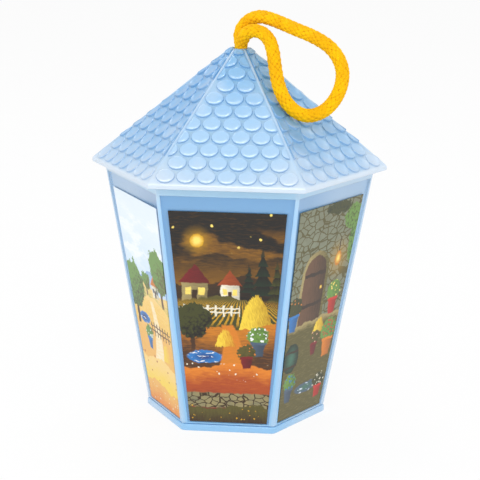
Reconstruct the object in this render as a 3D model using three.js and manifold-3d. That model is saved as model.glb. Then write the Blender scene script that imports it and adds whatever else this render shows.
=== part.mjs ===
// A six-sided hanging lantern of translucent plastic, in millimetres, +Z up, standing on z = 0.
// The tiled roof lifts off the shell, the shell lifts off the base, and the base holds a
// battery light with a slide switch and a battery door underneath. A cord loop carries it.
import * as THREE from 'three';
import { mergeVertices } from 'three/addons/utils/BufferGeometryUtils.js';
import Module from 'manifold-3d';

// Driving dimensions

const gap = 0.3; // between neighbours that touch
const sideCount = 6;
const overcut = 1; // how far a cutting shape runs past what it cuts
const boreSides = 12;

// Body shell: hexagonal, wider at the top; radii are to the corners
const eaveHeight = 111.4;
const footMargin = 6.385; // from the battery bay's reach to the flats of the shell's foot
const eaveOverhang = 5.6; // of the roof past the shell, at the corners
const shellRise = 2.4; // how far the shell runs up under the roof
const shellWall = 2.2;
const recessDepth = 1.0;
const recessFootHeight = 3.9;
const recessHeadDrop = 3.8; // below the eave
const postWidthFoot = 2.4; // rim beside the recess, on each side of a corner
const postWidthHead = 1.1;

// Printed pictures in the recesses
const pictureThickness = 0.3;
const pictureSideMarginFoot = 0.9;
const pictureSideMarginHead = 2.8;
const pictureFootMargin = 0.3;
const pictureHeadMargin = 6.6;

// Roof: a flat-sided pyramid with a small flat top
const eaveRadius = 65;
const eaveLip = 2;
const roofRise = 50;
const roofTopRadius = 4.45;
const roofWall = 1.8;
const apexBlockHeight = 8;
const collarDepth = 4.4; // below the eave, inside the shell
const collarWall = 1.5;
const seatWebThickness = 1.4;
const seatWebSpacing = 30;
const ridgeRadius = 0.9;
const ridgeProud = 0.5;

// Roof tiles
const tileRowPitch = 6.8;
const tilePitch = 8.5;
const tileWidth = 7.8;
const tileLength = 6.6;
const tileThickness = 1.2;
const tileLift = 0.9; // of the lower lip
const tileEaveMargin = 0.9;
const tileRidgeMargin = 1.2;
const tileLeastWidth = 1.8;

// Base plate and its foot
const flangeProud = 1.2; // past the shell's foot, at the corners
const flangeHeight = 3;
const flangeCornerRadius = 2.5;
const flangeChamfer = 0.4;
const footRimWidth = 6.5; // from the flange's corners to the recess in the underside
const footRecessDepth = 0.8;
const floorTop = 4.2; // inside the plug ring
const plugHeight = 6;
const plugWall = 1.8;

// Batteries, lying along Y
const batteryDiameter = 10.5;
const batteryLength = 44.5;
const batteryNubDiameter = 3.8;
const batteryNubLength = 1;
const batteryClearance = 1.1; // between the two
const bayCentreX = -3;
const baySideClearance = 0.5;
const bayWall = 1.5;
const springLength = 5.6;
const springWire = 0.6;
const springTurns = 4;
const springFootRadius = 3.9;
const springTipRadius = 2.6;
const contactThickness = 0.5;
const contactSideClearance = 1;
const contactTabWidth = 3;
const contactTabRise = 2.2;

// Battery door
const doorThickness = 1.8;
const doorInset = 0.2; // above the foot recess
const doorLedge = 2.2; // how far the door laps the plate round the bay
const doorEarRadius = 3;
const doorGripWidth = 12;
const doorGripDepth = 0.5;
const doorGripCount = 3;
const doorGripPitch = 2.2;
const doorGripInset = 4.4; // of the first groove, from the door's end

// Screws
const screwShank = 2.2;
const screwHead = 4.2;
const screwHeadHeight = 1.3;
const doorScrewLength = 6.5;
const doorScrewProud = 0.4; // of the head below the door
const coverScrewLength = 9;
const screwSlotWidth = 0.7;
const screwSlotDepth = 0.6;
const screwSlotReach = 1.365; // from the middle
const screwCrownRadius = 1.47; // of the flat of the head
const screwCrownHeight = 0.52;
const bossWall = 1.3;

// Circuit board, switch and light
const boardThickness = 1.6;
const boardLength = 36;
const boardEdge = 1; // above the LED's legs
const boardFaceX = 16; // the board's inner face
const boardLift = 0.6; // above the floor
const guideGrip = 2; // how far the posts lap the board's ends
const guideWall = 1.5;
const guideHeight = 6;
const switchLength = 9;
const switchDepth = 4.2;
const switchHeight = 4;
const switchTravel = 3;
const knobLength = 4;
const knobWidth = 2.4;
const knobClearance = 0.4; // above the surface that the lantern stands on
const knobNotch = 0.4; // half the width of the groove across the knob
const fingerWellWidth = 5.4;
const fingerWellLength = 12;
const fingerWellDepth = 1.3;
const stemWidth = 1.2;
const stemRise = 1.6;
const resistorDiameter = 2.2;
const resistorLength = 6.4;
const resistorEndInset = 7; // of its middle from the board's end
const resistorDrop = 4.47; // below the board's upper edge
const wireDiameter = 1.2;
const wireLead = 3; // straight run at each end
const wireSeat = 0.9; // of the wires below the board's upper edge
const ledDiameter = 5;
const ledFlange = 5.8;
const ledFlangeThickness = 1;
const ledHeight = 8.6;
const ledSink = 1; // below the top of the cover
const ledLegWidth = 0.5;
const ledLegRise = 0.7; // over the battery bay
const ledLegSpacing = 2.54;

// Lamp cover and the diffuser that stands on it
const coverWall = 1.5;
const coverTabRoom = 0.8; // above the contact tabs
const coverBoardRoom = 1.3; // above the circuit board
const coverSlopeHeight = 5;
const coverTopRadius = 9;
const coverScrewNearInset = 6.15; // from the cover's corner, on the switch's side
const coverScrewFarInset = 8.95;
const candleDiameter = 12.4;
const candleHeight = 4.5;
const flameDiameter = 12;
const flameHeight = 18;
const flameWall = 1.8;
const flameBoreClearance = 0.5; // round the LED
const flameBoreHeadroom = 6.2; // above the LED
const flameBellyRatio = 1.5; // curve handles, to the half width and to the height
const flameBellyHeightRatio = 0.35;
const flameNeckRatio = 0.4;
const flameNeckHeightRatio = 0.7;
const boreTaperRatio = 0.6; // of the flame's bore, part of the way to its tip

// Cord: two strands pressed together in the hole at the top of the roof
const cordDiameter = 6;
const cordSides = 10;
const neckDiameter = 6;
const neckStubLength = 5.4;
const knotDiameter = 13;
const knotHeight = 8.6;
const knotShapeRatio = 0.6; // 1 is an ellipsoid, less is nearer to a barrel
const cordRoute = [
  [0, 1.5, 165.0], [-0.3, 2.6, 168.6], [0.9, 3.0, 172.2], [4.0, 2.0, 175.4], [8.4, 0, 177.0],
  [13, -2.3, 176.5], [18.5, -5, 174.9], [24.5, -8, 172.9], [30.3, -11, 171.1],
  [35.2, -13.6, 169.1], [39.6, -15.8, 166.4], [43, -17.9, 162.6], [44.9, -19.3, 158.2],
  [45.2, -20.2, 154], [44.4, -20.9, 149.8], [42.4, -21.5, 145.4], [39.2, -22, 141.5],
  [35.3, -22.5, 139.1], [31, -23, 138.3], [26.9, -23.4, 139.5], [23.4, -23.2, 142.2],
  [20.6, -21.8, 145.7], [18.4, -19.2, 150.1], [16.9, -15.8, 154.8], [15.9, -12.8, 159.1],
  [15.0, -10.4, 163.4], [13.4, -8.5, 167.6], [10.6, -7.1, 170.5], [7.5, -6.2, 171.6],
  [4.5, -5.2, 171.1], [2.2, -3.9, 169.2], [0.8, -2.0, 165.8],
];

// Places that follow from the driving dimensions

const apothemRatio = Math.cos(Math.PI / sideCount);
const batterySpacing = batteryDiameter + batteryClearance;
const cellX = [bayCentreX - batterySpacing / 2, bayCentreX + batterySpacing / 2];
const bayHalfX = (batterySpacing + batteryDiameter) / 2 + baySideClearance;
const bayHalfY = (batteryLength + springLength) / 2 + contactThickness + 1.5 * gap;
const contactY = bayHalfY - gap - contactThickness / 2;
const bayOuterX = Math.abs(bayCentreX) + bayHalfX + bayWall;
const bayOuterY = bayHalfY + bayWall;
const bayCornerReach = bayOuterX * apothemRatio + bayOuterY / 2;
const bayReach = Math.max(bayOuterY, bayCornerReach); // of the bay towards the six sides

const shellFootRadius = (bayReach + footMargin) / apothemRatio; // at z = 0
const shellEaveRadius = eaveRadius - eaveOverhang; // at the height of the eave
const shellBottom = flangeHeight + gap;
const shellTop = eaveHeight + shellRise;
const shellLean = Math.atan((shellEaveRadius - shellFootRadius) * apothemRatio / eaveHeight);
const roofFoot = eaveHeight + eaveLip;
const roofTop = roofFoot + roofRise;
const roofRun = (eaveRadius - roofTopRadius) * apothemRatio;
const roofPitch = Math.atan(roofRise / roofRun);
const roofSlope = Math.hypot(roofRise, roofRun);
const roofDrop = roofWall / Math.cos(roofPitch); // the wall measured straight down
const cavityTop = roofTop - apexBlockHeight;
const collarBottom = eaveHeight - collarDepth;
const collarRadius = shellInnerRadius(collarBottom) - gap / apothemRatio;
const collarTop = roofFoot + (eaveRadius - collarRadius) * roofRise / (eaveRadius - roofTopRadius);
const knotTop = cavityTop - gap;
const neckHole = neckDiameter + 2 * gap;

const flangeRadius = shellFootRadius + flangeProud;
const footRecessRadius = flangeRadius - footRimWidth;
const plugRadius = shellInnerRadius(shellBottom) - gap / apothemRatio;
const doorBottom = footRecessDepth + doorInset;
const doorTop = doorBottom + doorThickness;
const doorScrewZ = doorBottom - doorScrewProud;
const doorHalfX = bayHalfX + doorLedge;
const doorHalfY = bayHalfY + doorLedge;
const doorScrewX = [bayCentreX - doorHalfX, bayCentreX + doorHalfX];
const bayBottom = doorTop + gap;
const batteryZ = floorTop + batteryDiameter / 2;
const bayTop = batteryZ + batteryDiameter / 2 + gap;
const bayRoof = bayTop + bayWall;
const tabTop = bayRoof + contactTabRise;
const screwHole = screwShank + 2 * gap;
const screwPocket = screwHead + 2 * gap;
const bossDiameter = screwHole + 2 * bossWall;

const ledLegZ = bayRoof + ledLegRise;
const boardBottom = floorTop + boardLift;
const boardTop = ledLegZ + boardEdge;
const boardHeight = boardTop - boardBottom;
const boardOuterX = boardFaceX + boardThickness;
const resistorZ = boardTop - resistorDrop;
const switchX = boardOuterX + gap + switchDepth / 2;
const switchBottom = floorTop + gap;
const coverRadius = plugRadius - (plugWall + gap) / apothemRatio;
const coverScrewX = [coverScrewFarInset - coverRadius, coverRadius - coverScrewNearInset];
const coverBottom = floorTop + gap;
const coverShoulder = Math.max(tabTop + coverTabRoom, boardTop + coverBoardRoom);
const coverTop = coverShoulder + coverSlopeHeight;
const candleTop = coverTop + candleHeight;
const ledBottom = coverTop - ledSink;
const flameBottom = candleTop + gap;

function shellRadius(z) {
  return shellFootRadius + (shellEaveRadius - shellFootRadius) * z / eaveHeight;
}

function shellInnerRadius(z) {
  return shellRadius(z) - shellWall / Math.cos(shellLean) / apothemRatio;
}

function roofRadius(z) {
  return eaveRadius - (z - roofFoot) * (eaveRadius - roofTopRadius) / roofRise;
}

function roofInnerRadius(z) {
  return roofRadius(z + roofDrop);
}

// Solids from geometries, and back

const wasm = await Module();
wasm.setup();

function solidOf(geometry) {
  const bare = geometry.clone();
  bare.deleteAttribute('normal');
  bare.deleteAttribute('uv');
  const merged = mergeVertices(bare, 1e-4);
  return new wasm.Manifold(new wasm.Mesh({
    numProp: 3,
    vertProperties: new Float32Array(merged.attributes.position.array),
    triVerts: new Uint32Array(merged.index.array),
  }));
}

function geometryOf(solid) {
  const mesh = solid.getMesh();
  const geometry = new THREE.BufferGeometry();
  const points = new Float32Array(mesh.vertProperties);
  geometry.setAttribute('position', new THREE.BufferAttribute(points, 3));
  geometry.setIndex(new THREE.BufferAttribute(new Uint32Array(mesh.triVerts), 1));
  geometry.computeVertexNormals();
  return geometry;
}

function join(solids) {
  return solids.reduce((whole, solid) => whole.add(solid));
}

function cut(solid, tools) {
  return tools.reduce((rest, tool) => rest.subtract(tool), solid);
}

// Simple shapes, all with their axis along Z

function hexagon(footRadius, topRadius, z0, z1) {
  const height = z1 - z0;
  const turn = Math.PI / sideCount;
  const geometry = new THREE.CylinderGeometry(topRadius, footRadius, height, sideCount, 1, false, turn);
  geometry.rotateX(Math.PI / 2);
  geometry.translate(0, 0, (z0 + z1) / 2);
  return solidOf(geometry);
}

function block(x0, x1, y0, y1, z0, z1) {
  const geometry = new THREE.BoxGeometry(x1 - x0, y1 - y0, z1 - z0);
  geometry.translate((x0 + x1) / 2, (y0 + y1) / 2, (z0 + z1) / 2);
  return solidOf(geometry);
}

function rod(diameter, x, y, z0, z1, sides = 16) {
  const geometry = new THREE.CylinderGeometry(diameter / 2, diameter / 2, z1 - z0, sides);
  geometry.rotateX(Math.PI / 2);
  geometry.translate(x, y, (z0 + z1) / 2);
  return solidOf(geometry);
}

function turned(profile, sides) {
  const points = profile.map(([radius, z]) => new THREE.Vector2(radius, z));
  const geometry = new THREE.LatheGeometry(points, sides);
  geometry.rotateX(Math.PI / 2);
  return geometry;
}

function slab(shape, z0, z1) {
  const settings = { depth: z1 - z0, bevelEnabled: false, curveSegments: 2 };
  const geometry = new THREE.ExtrudeGeometry(shape, settings);
  geometry.translate(0, 0, z0);
  return geometry;
}

function tube(curve, diameter, sides, steps) {
  const section = new THREE.Shape();
  for (let i = 0; i < sides; i += 1) {
    const angle = i * 2 * Math.PI / sides;
    const x = Math.cos(angle) * diameter / 2;
    const y = Math.sin(angle) * diameter / 2;
    if (i === 0) {
      section.moveTo(x, y);
    } else {
      section.lineTo(x, y);
    }
  }
  return new THREE.ExtrudeGeometry(section, { steps, bevelEnabled: false, extrudePath: curve });
}

function roundedHexagon(radius, cornerRadius) {
  const shape = new THREE.Shape();
  const centreRadius = radius - cornerRadius / apothemRatio;
  for (let i = 0; i < sideCount; i += 1) {
    const angle = i * Math.PI / 3;
    const x = centreRadius * Math.cos(angle);
    const y = centreRadius * Math.sin(angle);
    shape.absarc(x, y, cornerRadius, angle - Math.PI / 6, angle + Math.PI / 6, false);
  }
  return shape;
}

function trapezoid(halfFoot, halfHead, y0, y1) {
  const shape = new THREE.Shape();
  shape.moveTo(-halfFoot, y0);
  shape.lineTo(halfFoot, y0);
  shape.lineTo(halfHead, y1);
  shape.lineTo(-halfHead, y1);
  shape.closePath();
  return shape;
}

// Frames of the sides: X across, Y up the side, Z outwards. Side 0 faces -Y.

function sideFrame(index, apothem, z, steepness) {
  const frame = new THREE.Matrix4().makeBasis(
    new THREE.Vector3(1, 0, 0),
    new THREE.Vector3(0, Math.cos(steepness), Math.sin(steepness)),
    new THREE.Vector3(0, -Math.sin(steepness), Math.cos(steepness)),
  );
  frame.setPosition(0, -apothem, z);
  return new THREE.Matrix4().makeRotationZ(index * Math.PI / 3).multiply(frame);
}

function shellSideFrame(index) {
  return sideFrame(index, shellFootRadius * apothemRatio, 0, Math.PI / 2 + shellLean);
}

function roofSideFrame(index) {
  return sideFrame(index, eaveRadius * apothemRatio, roofFoot, roofPitch);
}

// Named pieces with their own materials

const lantern = new THREE.Group();

function addPiece(name, geometry, color, roughness, metalness = 0) {
  const material = new THREE.MeshStandardMaterial({ color, roughness, metalness });
  const piece = new THREE.Mesh(geometry, material);
  piece.name = name;
  lantern.add(piece);
  return piece;
}

const bluePlastic = 0x9cc8f0;
const whitePlastic = 0xf2f2ee;
const blackPlastic = 0x22252a;
const steel = 0xb9bcc0;
const cordYellow = 0xffc300;

// Shell and pictures

function sideHalfWidth(z) {
  return shellRadius(z) / 2;
}

function recessOutline() {
  const slant = 1 / Math.cos(shellLean);
  const headZ = eaveHeight - recessHeadDrop;
  const halfFoot = sideHalfWidth(recessFootHeight) - postWidthFoot;
  const halfHead = sideHalfWidth(headZ) - postWidthHead;
  return trapezoid(halfFoot, halfHead, recessFootHeight * slant, headZ * slant);
}

function pictureOutline() {
  const slant = 1 / Math.cos(shellLean);
  const footZ = recessFootHeight + pictureFootMargin;
  const headZ = eaveHeight - recessHeadDrop - pictureHeadMargin;
  const halfFoot = sideHalfWidth(footZ) - postWidthFoot - pictureSideMarginFoot;
  const halfHead = sideHalfWidth(headZ) - postWidthHead - pictureSideMarginHead;
  return trapezoid(halfFoot, halfHead, footZ * slant, headZ * slant);
}

function makeShell() {
  const outside = hexagon(shellRadius(shellBottom), shellRadius(shellTop), shellBottom, shellTop);
  const below = shellBottom - overcut;
  const above = shellTop + overcut;
  const inside = hexagon(shellInnerRadius(below), shellInnerRadius(above), below, above);
  const recesses = [];
  for (let i = 0; i < sideCount; i += 1) {
    const recess = slab(recessOutline(), -recessDepth, recessDepth);
    recess.applyMatrix4(shellSideFrame(i));
    recesses.push(solidOf(recess));
  }
  addPiece('lantern_shell', geometryOf(cut(outside, [inside, ...recesses])), bluePlastic, 0.35);
}

function makePictures() {
  const sideNames = ['front', 'front_right', 'back_right', 'back', 'back_left', 'front_left'];
  const colors = [0x6b4a2a, 0x8a8f80, 0x4f6a8c, 0x5c6a3c, 0x8a6a40, 0xe6c070];
  sideNames.forEach((side, i) => {
    const back = gap - recessDepth;
    const picture = slab(pictureOutline(), back, back + pictureThickness);
    picture.applyMatrix4(shellSideFrame(i));
    addPiece(`picture_${side}`, picture, colors[i], 0.45);
  });
}

// Roof

function tileShape() {
  const shape = new THREE.Shape();
  const arcs = 2; // slab() draws each with four straight pieces
  for (let i = 0; i < arcs; i += 1) {
    const from = i * 2 * Math.PI / arcs;
    const to = (i + 1) * 2 * Math.PI / arcs;
    shape.absellipse(0, tileLength / 2, tileWidth / 2, tileLength / 2, from, to, false, 0);
  }
  return shape;
}

// Free half width of a roof side between its ridge margins, at a distance up the slope
function tileRowHalfWidth(up) {
  const halfEave = eaveRadius / 2;
  const halfTop = roofTopRadius / 2;
  return halfEave - (halfEave - halfTop) * up / roofSlope - tileRidgeMargin;
}

// Centres of the tiles in one row, as far out as there is room for a part of a tile
function tileRow(row, up) {
  const room = tileRowHalfWidth(up + tileLength / 2);
  const centres = [];
  const first = row % 2 === 0 ? 0 : tilePitch / 2;
  for (let centre = first; centre - tileWidth / 2 < room; centre += tilePitch) {
    if (centre === 0) {
      centres.push(0);
    } else if (room - (centre - tileWidth / 2) >= tileLeastWidth) {
      centres.push(centre, -centre);
    }
  }
  return centres;
}

function tileGeometry(centre, up) {
  const tile = slab(tileShape(), -tileThickness, 0);
  tile.translate(0, -tileLength, 0);
  tile.rotateX(-Math.asin(tileLift / tileLength));
  tile.translate(centre, up + tileLength, 0);
  return tile;
}

// All the tiles of one side, cut off along its ridge margins
function tileField() {
  const tiles = [];
  for (let row = 0; tileEaveMargin + row * tileRowPitch + tileLength / 2 < roofSlope; row += 1) {
    const up = tileEaveMargin + row * tileRowPitch;
    tileRow(row, up).forEach((centre) => tiles.push(solidOf(tileGeometry(centre, up))));
  }
  const outline = trapezoid(tileRowHalfWidth(0), tileRowHalfWidth(roofSlope), 0, roofSlope - gap);
  const field = solidOf(slab(outline, -2 * tileThickness, 2 * tileLift));
  return join(tiles).intersect(field);
}

function roofRidge(index) {
  const angle = index * Math.PI / 3;
  const sunk = ridgeRadius - ridgeProud;
  const foot = new THREE.Vector3(eaveRadius - ridgeRadius - sunk, 0, roofFoot);
  const top = new THREE.Vector3(roofTopRadius - sunk, 0, roofTop - ridgeRadius);
  const ridge = tube(new THREE.LineCurve3(foot, top), 2 * ridgeRadius, 8, 1);
  ridge.rotateZ(angle);
  return solidOf(ridge);
}

function seatWeb(index, offset) {
  const near = collarRadius * apothemRatio - collarWall / 2;
  const far = roofInnerRadius(shellTop + gap) * apothemRatio + roofWall / 2;
  const bottom = shellTop + gap;
  const web = new THREE.BoxGeometry(seatWebThickness, far - near, collarTop - bottom);
  web.translate(offset, -(near + far) / 2, (collarTop + bottom) / 2);
  web.rotateZ(index * Math.PI / 3);
  return solidOf(web);
}

function makeRoof() {
  const plate = hexagon(eaveRadius, eaveRadius, eaveHeight, roofFoot);
  const pyramid = hexagon(eaveRadius, roofTopRadius, roofFoot, roofTop);
  const below = eaveHeight - overcut;
  const hollow = hexagon(roofInnerRadius(below), roofInnerRadius(cavityTop), below, cavityTop);
  const collarInner = collarRadius - collarWall / apothemRatio;
  const collarRing = hexagon(collarRadius, collarRadius, collarBottom, collarTop)
    .subtract(hexagon(collarInner, collarInner, collarBottom - overcut, collarTop + overcut));
  const webs = [];
  for (let i = 0; i < sideCount; i += 1) {
    webs.push(seatWeb(i, -seatWebSpacing / 2), seatWeb(i, seatWebSpacing / 2));
  }
  const coreTop = roofTop - roofWall;
  const core = hexagon(roofRadius(eaveHeight + roofWall), roofRadius(roofTop), eaveHeight, coreTop);
  const inner = join([collarRing, ...webs]).intersect(core);
  const field = geometryOf(tileField());
  const outside = [];
  for (let i = 0; i < sideCount; i += 1) {
    const side = field.clone();
    side.applyMatrix4(roofSideFrame(i));
    outside.push(solidOf(side), roofRidge(i));
  }
  const skin = join([plate.add(pyramid).subtract(hollow), ...outside]);
  const hole = rod(neckHole, 0, 0, cavityTop - overcut, roofTop + overcut, boreSides);
  addPiece('roof', geometryOf(skin.add(inner).subtract(hole)), bluePlastic, 0.35);
}

// Base plate with its plug ring, battery bay and screw bosses

function bayBox(grow, z0, z1) {
  return block(
    bayCentreX - bayHalfX - grow, bayCentreX + bayHalfX + grow,
    -bayHalfY - grow, bayHalfY + grow, z0, z1,
  );
}

function doorOutline(grow) {
  const shape = new THREE.Shape();
  const right = bayCentreX + doorHalfX + grow;
  const left = bayCentreX - doorHalfX - grow;
  const far = doorHalfY + grow;
  const ear = doorEarRadius + grow;
  shape.moveTo(left, -far);
  shape.lineTo(right, -far);
  shape.absarc(doorScrewX[1] + grow, 0, ear, -Math.PI / 2, Math.PI / 2, false);
  shape.lineTo(right, far);
  shape.lineTo(left, far);
  shape.absarc(doorScrewX[0] - grow, 0, ear, Math.PI / 2, 3 * Math.PI / 2, false);
  shape.closePath();
  return shape;
}

// One of the two slotted posts that hold the ends of the circuit board
function boardGuide(side) {
  const end = side * boardLength / 2;
  const grip = end - side * guideGrip;
  const wall = end + side * (gap + guideWall);
  const post = block(boardFaceX - gap - guideWall, boardOuterX + gap + guideWall,
    Math.min(grip, wall), Math.max(grip, wall), floorTop - overcut, floorTop + guideHeight);
  const past = grip - side * overcut;
  const stop = end + side * gap;
  const slot = block(boardFaceX - gap, boardOuterX + gap,
    Math.min(past, stop), Math.max(past, stop), floorTop, floorTop + guideHeight + overcut);
  return post.subtract(slot);
}

function makeBasePlate() {
  const flangeShape = roundedHexagon(flangeRadius - flangeChamfer, flangeCornerRadius);
  const flange = new THREE.ExtrudeGeometry(flangeShape, {
    depth: flangeHeight - 2 * flangeChamfer,
    bevelThickness: flangeChamfer,
    bevelSize: flangeChamfer,
    bevelSegments: 1,
    curveSegments: 2,
  });
  flange.translate(0, 0, flangeChamfer);
  const floor = hexagon(plugRadius, plugRadius, footRecessDepth, floorTop);
  const plugTop = flangeHeight + plugHeight;
  const plugInner = plugRadius - plugWall / apothemRatio;
  const plug = hexagon(plugRadius, plugRadius, flangeHeight / 2, plugTop)
    .subtract(hexagon(plugInner, plugInner, 0, plugTop + overcut));
  const bay = bayBox(bayWall, footRecessDepth, bayRoof);
  const bossTop = bayBottom + doorScrewLength;
  const doorBosses = doorScrewX.map((x) => rod(bossDiameter, x, 0, footRecessDepth, bossTop, boreSides));
  const guides = [-1, 1].map(boardGuide);
  const solid = join([solidOf(flange), floor, plug, bay, ...doorBosses, ...guides]);
  const knobReach = (knobLength + switchTravel) / 2;
  const tools = [
    hexagon(footRecessRadius, footRecessRadius, -overcut, footRecessDepth),
    bayBox(0, 0, bayTop),
    solidOf(slab(doorOutline(gap), 0, bayBottom)),
    block(switchX - knobWidth / 2 - gap, switchX + knobWidth / 2 + gap,
      -knobReach - gap, knobReach + gap, 0, floorTop + overcut),
    block(switchX - fingerWellWidth / 2, switchX + fingerWellWidth / 2,
      -fingerWellLength / 2, fingerWellLength / 2, 0, footRecessDepth + fingerWellDepth),
  ];
  doorScrewX.forEach((x) => {
    const end = doorScrewZ + screwHeadHeight + doorScrewLength + gap;
    tools.push(rod(screwHole, x, 0, 0, end, boreSides));
  });
  coverScrewX.forEach((x) => {
    tools.push(rod(screwPocket, x, 0, 0, doorBottom + screwHeadHeight + gap, boreSides));
    tools.push(rod(screwHole, x, 0, 0, floorTop + overcut, boreSides));
  });
  const slotHalfX = contactTabWidth / 2 + gap;
  const slotHalfY = contactThickness / 2 + gap;
  cellX.forEach((x) => {
    tools.push(block(x - slotHalfX, x + slotHalfX, -contactY - slotHalfY, -contactY + slotHalfY,
      bayTop - overcut, bayRoof + overcut));
  });
  addPiece('base_plate', geometryOf(cut(solid, tools)), bluePlastic, 0.4);
}

// Batteries and contacts: two cells in series, head to tail

function makeBatteries() {
  const radius = batteryDiameter / 2 - gap / 2;
  const shoulder = batteryLength - batteryNubLength;
  const profile = [
    [0, 0], [radius, 0], [radius, shoulder], [batteryNubDiameter / 2, shoulder],
    [batteryNubDiameter / 2, batteryLength], [0, batteryLength],
  ];
  const faceY = contactY - contactThickness / 2 - gap;
  cellX.forEach((x, i) => {
    const battery = turned(profile, 16);
    battery.rotateX(i === 0 ? -Math.PI / 2 : Math.PI / 2);
    battery.translate(x, i === 0 ? faceY - batteryLength : batteryLength - faceY, batteryZ);
    addPiece(`battery_${i + 1}`, battery, 0x3c6e46, 0.35, 0.2);
  });
}

function springOn(x, faceY, direction) {
  const points = [];
  const stepsPerTurn = 8;
  const steps = Math.round(springTurns * stepsPerTurn);
  const rise = springLength - springWire;
  for (let i = 0; i <= steps; i += 1) {
    const part = i / steps;
    const angle = part * springTurns * 2 * Math.PI;
    const radius = springFootRadius + (springTipRadius - springFootRadius) * part;
    points.push(new THREE.Vector3(
      x + radius * Math.cos(angle), faceY + direction * rise * part, batteryZ + radius * Math.sin(angle),
    ));
  }
  return solidOf(tube(new THREE.CatmullRomCurve3(points), springWire, 5, steps));
}

function contactPlate(x0, x1, side, z1) {
  const y = side * contactY;
  return block(x0, x1, y - contactThickness / 2, y + contactThickness / 2, floorTop - gap, z1);
}

function makeContacts() {
  const left = bayCentreX - bayHalfX + contactSideClearance;
  const right = bayCentreX + bayHalfX - contactSideClearance;
  const split = contactSideClearance / 2;
  const plateTop = bayTop - gap;
  const bridge = contactPlate(left, right, 1, plateTop);
  addPiece('contact_bridge', geometryOf(bridge.add(springOn(cellX[1], contactY, -1))), steel, 0.3, 1);
  const tabHalf = contactTabWidth / 2;
  const tabs = cellX.map((x) => contactPlate(x - tabHalf, x + tabHalf, -1, tabTop));
  const negative = contactPlate(left, bayCentreX - split, -1, plateTop)
    .add(springOn(cellX[0], -contactY, 1)).add(tabs[0]);
  addPiece('contact_negative', geometryOf(negative), steel, 0.3, 1);
  const positive = contactPlate(bayCentreX + split, right, -1, plateTop).add(tabs[1]);
  addPiece('contact_positive', geometryOf(positive), steel, 0.3, 1);
}

// Screws: head down, shank up

function makeScrew(name, x, headZ, length) {
  const head = screwHead / 2;
  const shank = screwShank / 2;
  const top = headZ + screwHeadHeight;
  const profile = [
    [0, headZ], [screwCrownRadius, headZ], [head, headZ + screwCrownHeight], [head, top], [shank, top],
    [shank, top + length - shank], [0, top + length],
  ];
  const body = turned(profile, boreSides);
  body.translate(x, 0, 0);
  const half = screwSlotWidth / 2;
  const bottom = headZ - overcut;
  const slots = [
    block(x - half, x + half, -screwSlotReach, screwSlotReach, bottom, headZ + screwSlotDepth),
    block(x - screwSlotReach, x + screwSlotReach, -half, half, bottom, headZ + screwSlotDepth),
  ];
  addPiece(name, geometryOf(cut(solidOf(body), slots)), steel, 0.3, 1);
}

// Battery door

function makeBatteryDoor() {
  const plate = solidOf(slab(doorOutline(0), doorBottom, doorTop));
  const tools = doorScrewX.flatMap((x) => [
    rod(screwHole, x, 0, doorBottom - overcut, doorTop + overcut, boreSides),
    rod(screwPocket, x, 0, doorBottom - overcut, doorScrewZ + screwHeadHeight + gap, boreSides),
  ]);
  for (let i = 0; i < doorGripCount; i += 1) {
    const y = -doorHalfY + doorGripInset + i * doorGripPitch;
    tools.push(block(bayCentreX - doorGripWidth / 2, bayCentreX + doorGripWidth / 2,
      y, y + doorGripPitch / 2, doorBottom - overcut, doorBottom + doorGripDepth));
  }
  addPiece('battery_door', geometryOf(cut(plate, tools)), bluePlastic, 0.45);
}

// Circuit board, switch and light

function makeBoard() {
  const board = new THREE.BoxGeometry(boardThickness, boardLength, boardHeight);
  board.translate(boardFaceX + boardThickness / 2, 0, boardBottom + boardHeight / 2);
  addPiece('circuit_board', board, 0x2f7d4a, 0.5);
  const radius = resistorDiameter / 2;
  const resistor = new THREE.CylinderGeometry(radius, radius, resistorLength, 10);
  resistor.translate(boardOuterX + gap + radius, boardLength / 2 - resistorEndInset, resistorZ);
  addPiece('resistor', resistor, 0xc9b48a, 0.5);
}

function makeSwitch() {
  const knobHalf = knobWidth / 2;
  const stemHalf = stemWidth / 2;
  const bodyHalf = switchLength / 2;
  const restY = -switchTravel / 2;
  const stemHalfLength = knobLength / 2;
  const body = block(switchX - switchDepth / 2, switchX + switchDepth / 2, -bodyHalf, bodyHalf,
    switchBottom, switchBottom + switchHeight);
  const slotHalf = stemHalfLength + switchTravel / 2 + gap;
  const slot = block(switchX - stemHalf - gap, switchX + stemHalf + gap, -slotHalf, slotHalf,
    switchBottom - overcut, switchBottom + stemRise + gap);
  addPiece('switch_body', geometryOf(body.subtract(slot)), steel, 0.4, 0.8);
  const nearY = restY - stemHalfLength;
  const farY = restY + stemHalfLength;
  const knob = block(switchX - knobHalf, switchX + knobHalf, nearY, farY, knobClearance, floorTop);
  const stem = block(switchX - stemHalf, switchX + stemHalf, nearY, farY,
    floorTop - overcut, switchBottom + stemRise);
  const notch = block(switchX - knobHalf - overcut, switchX + knobHalf + overcut,
    restY - knobNotch, restY + knobNotch, 0, knobClearance + knobNotch);
  addPiece('switch_slider', geometryOf(knob.add(stem).subtract(notch)), blackPlastic, 0.5);
}

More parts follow.
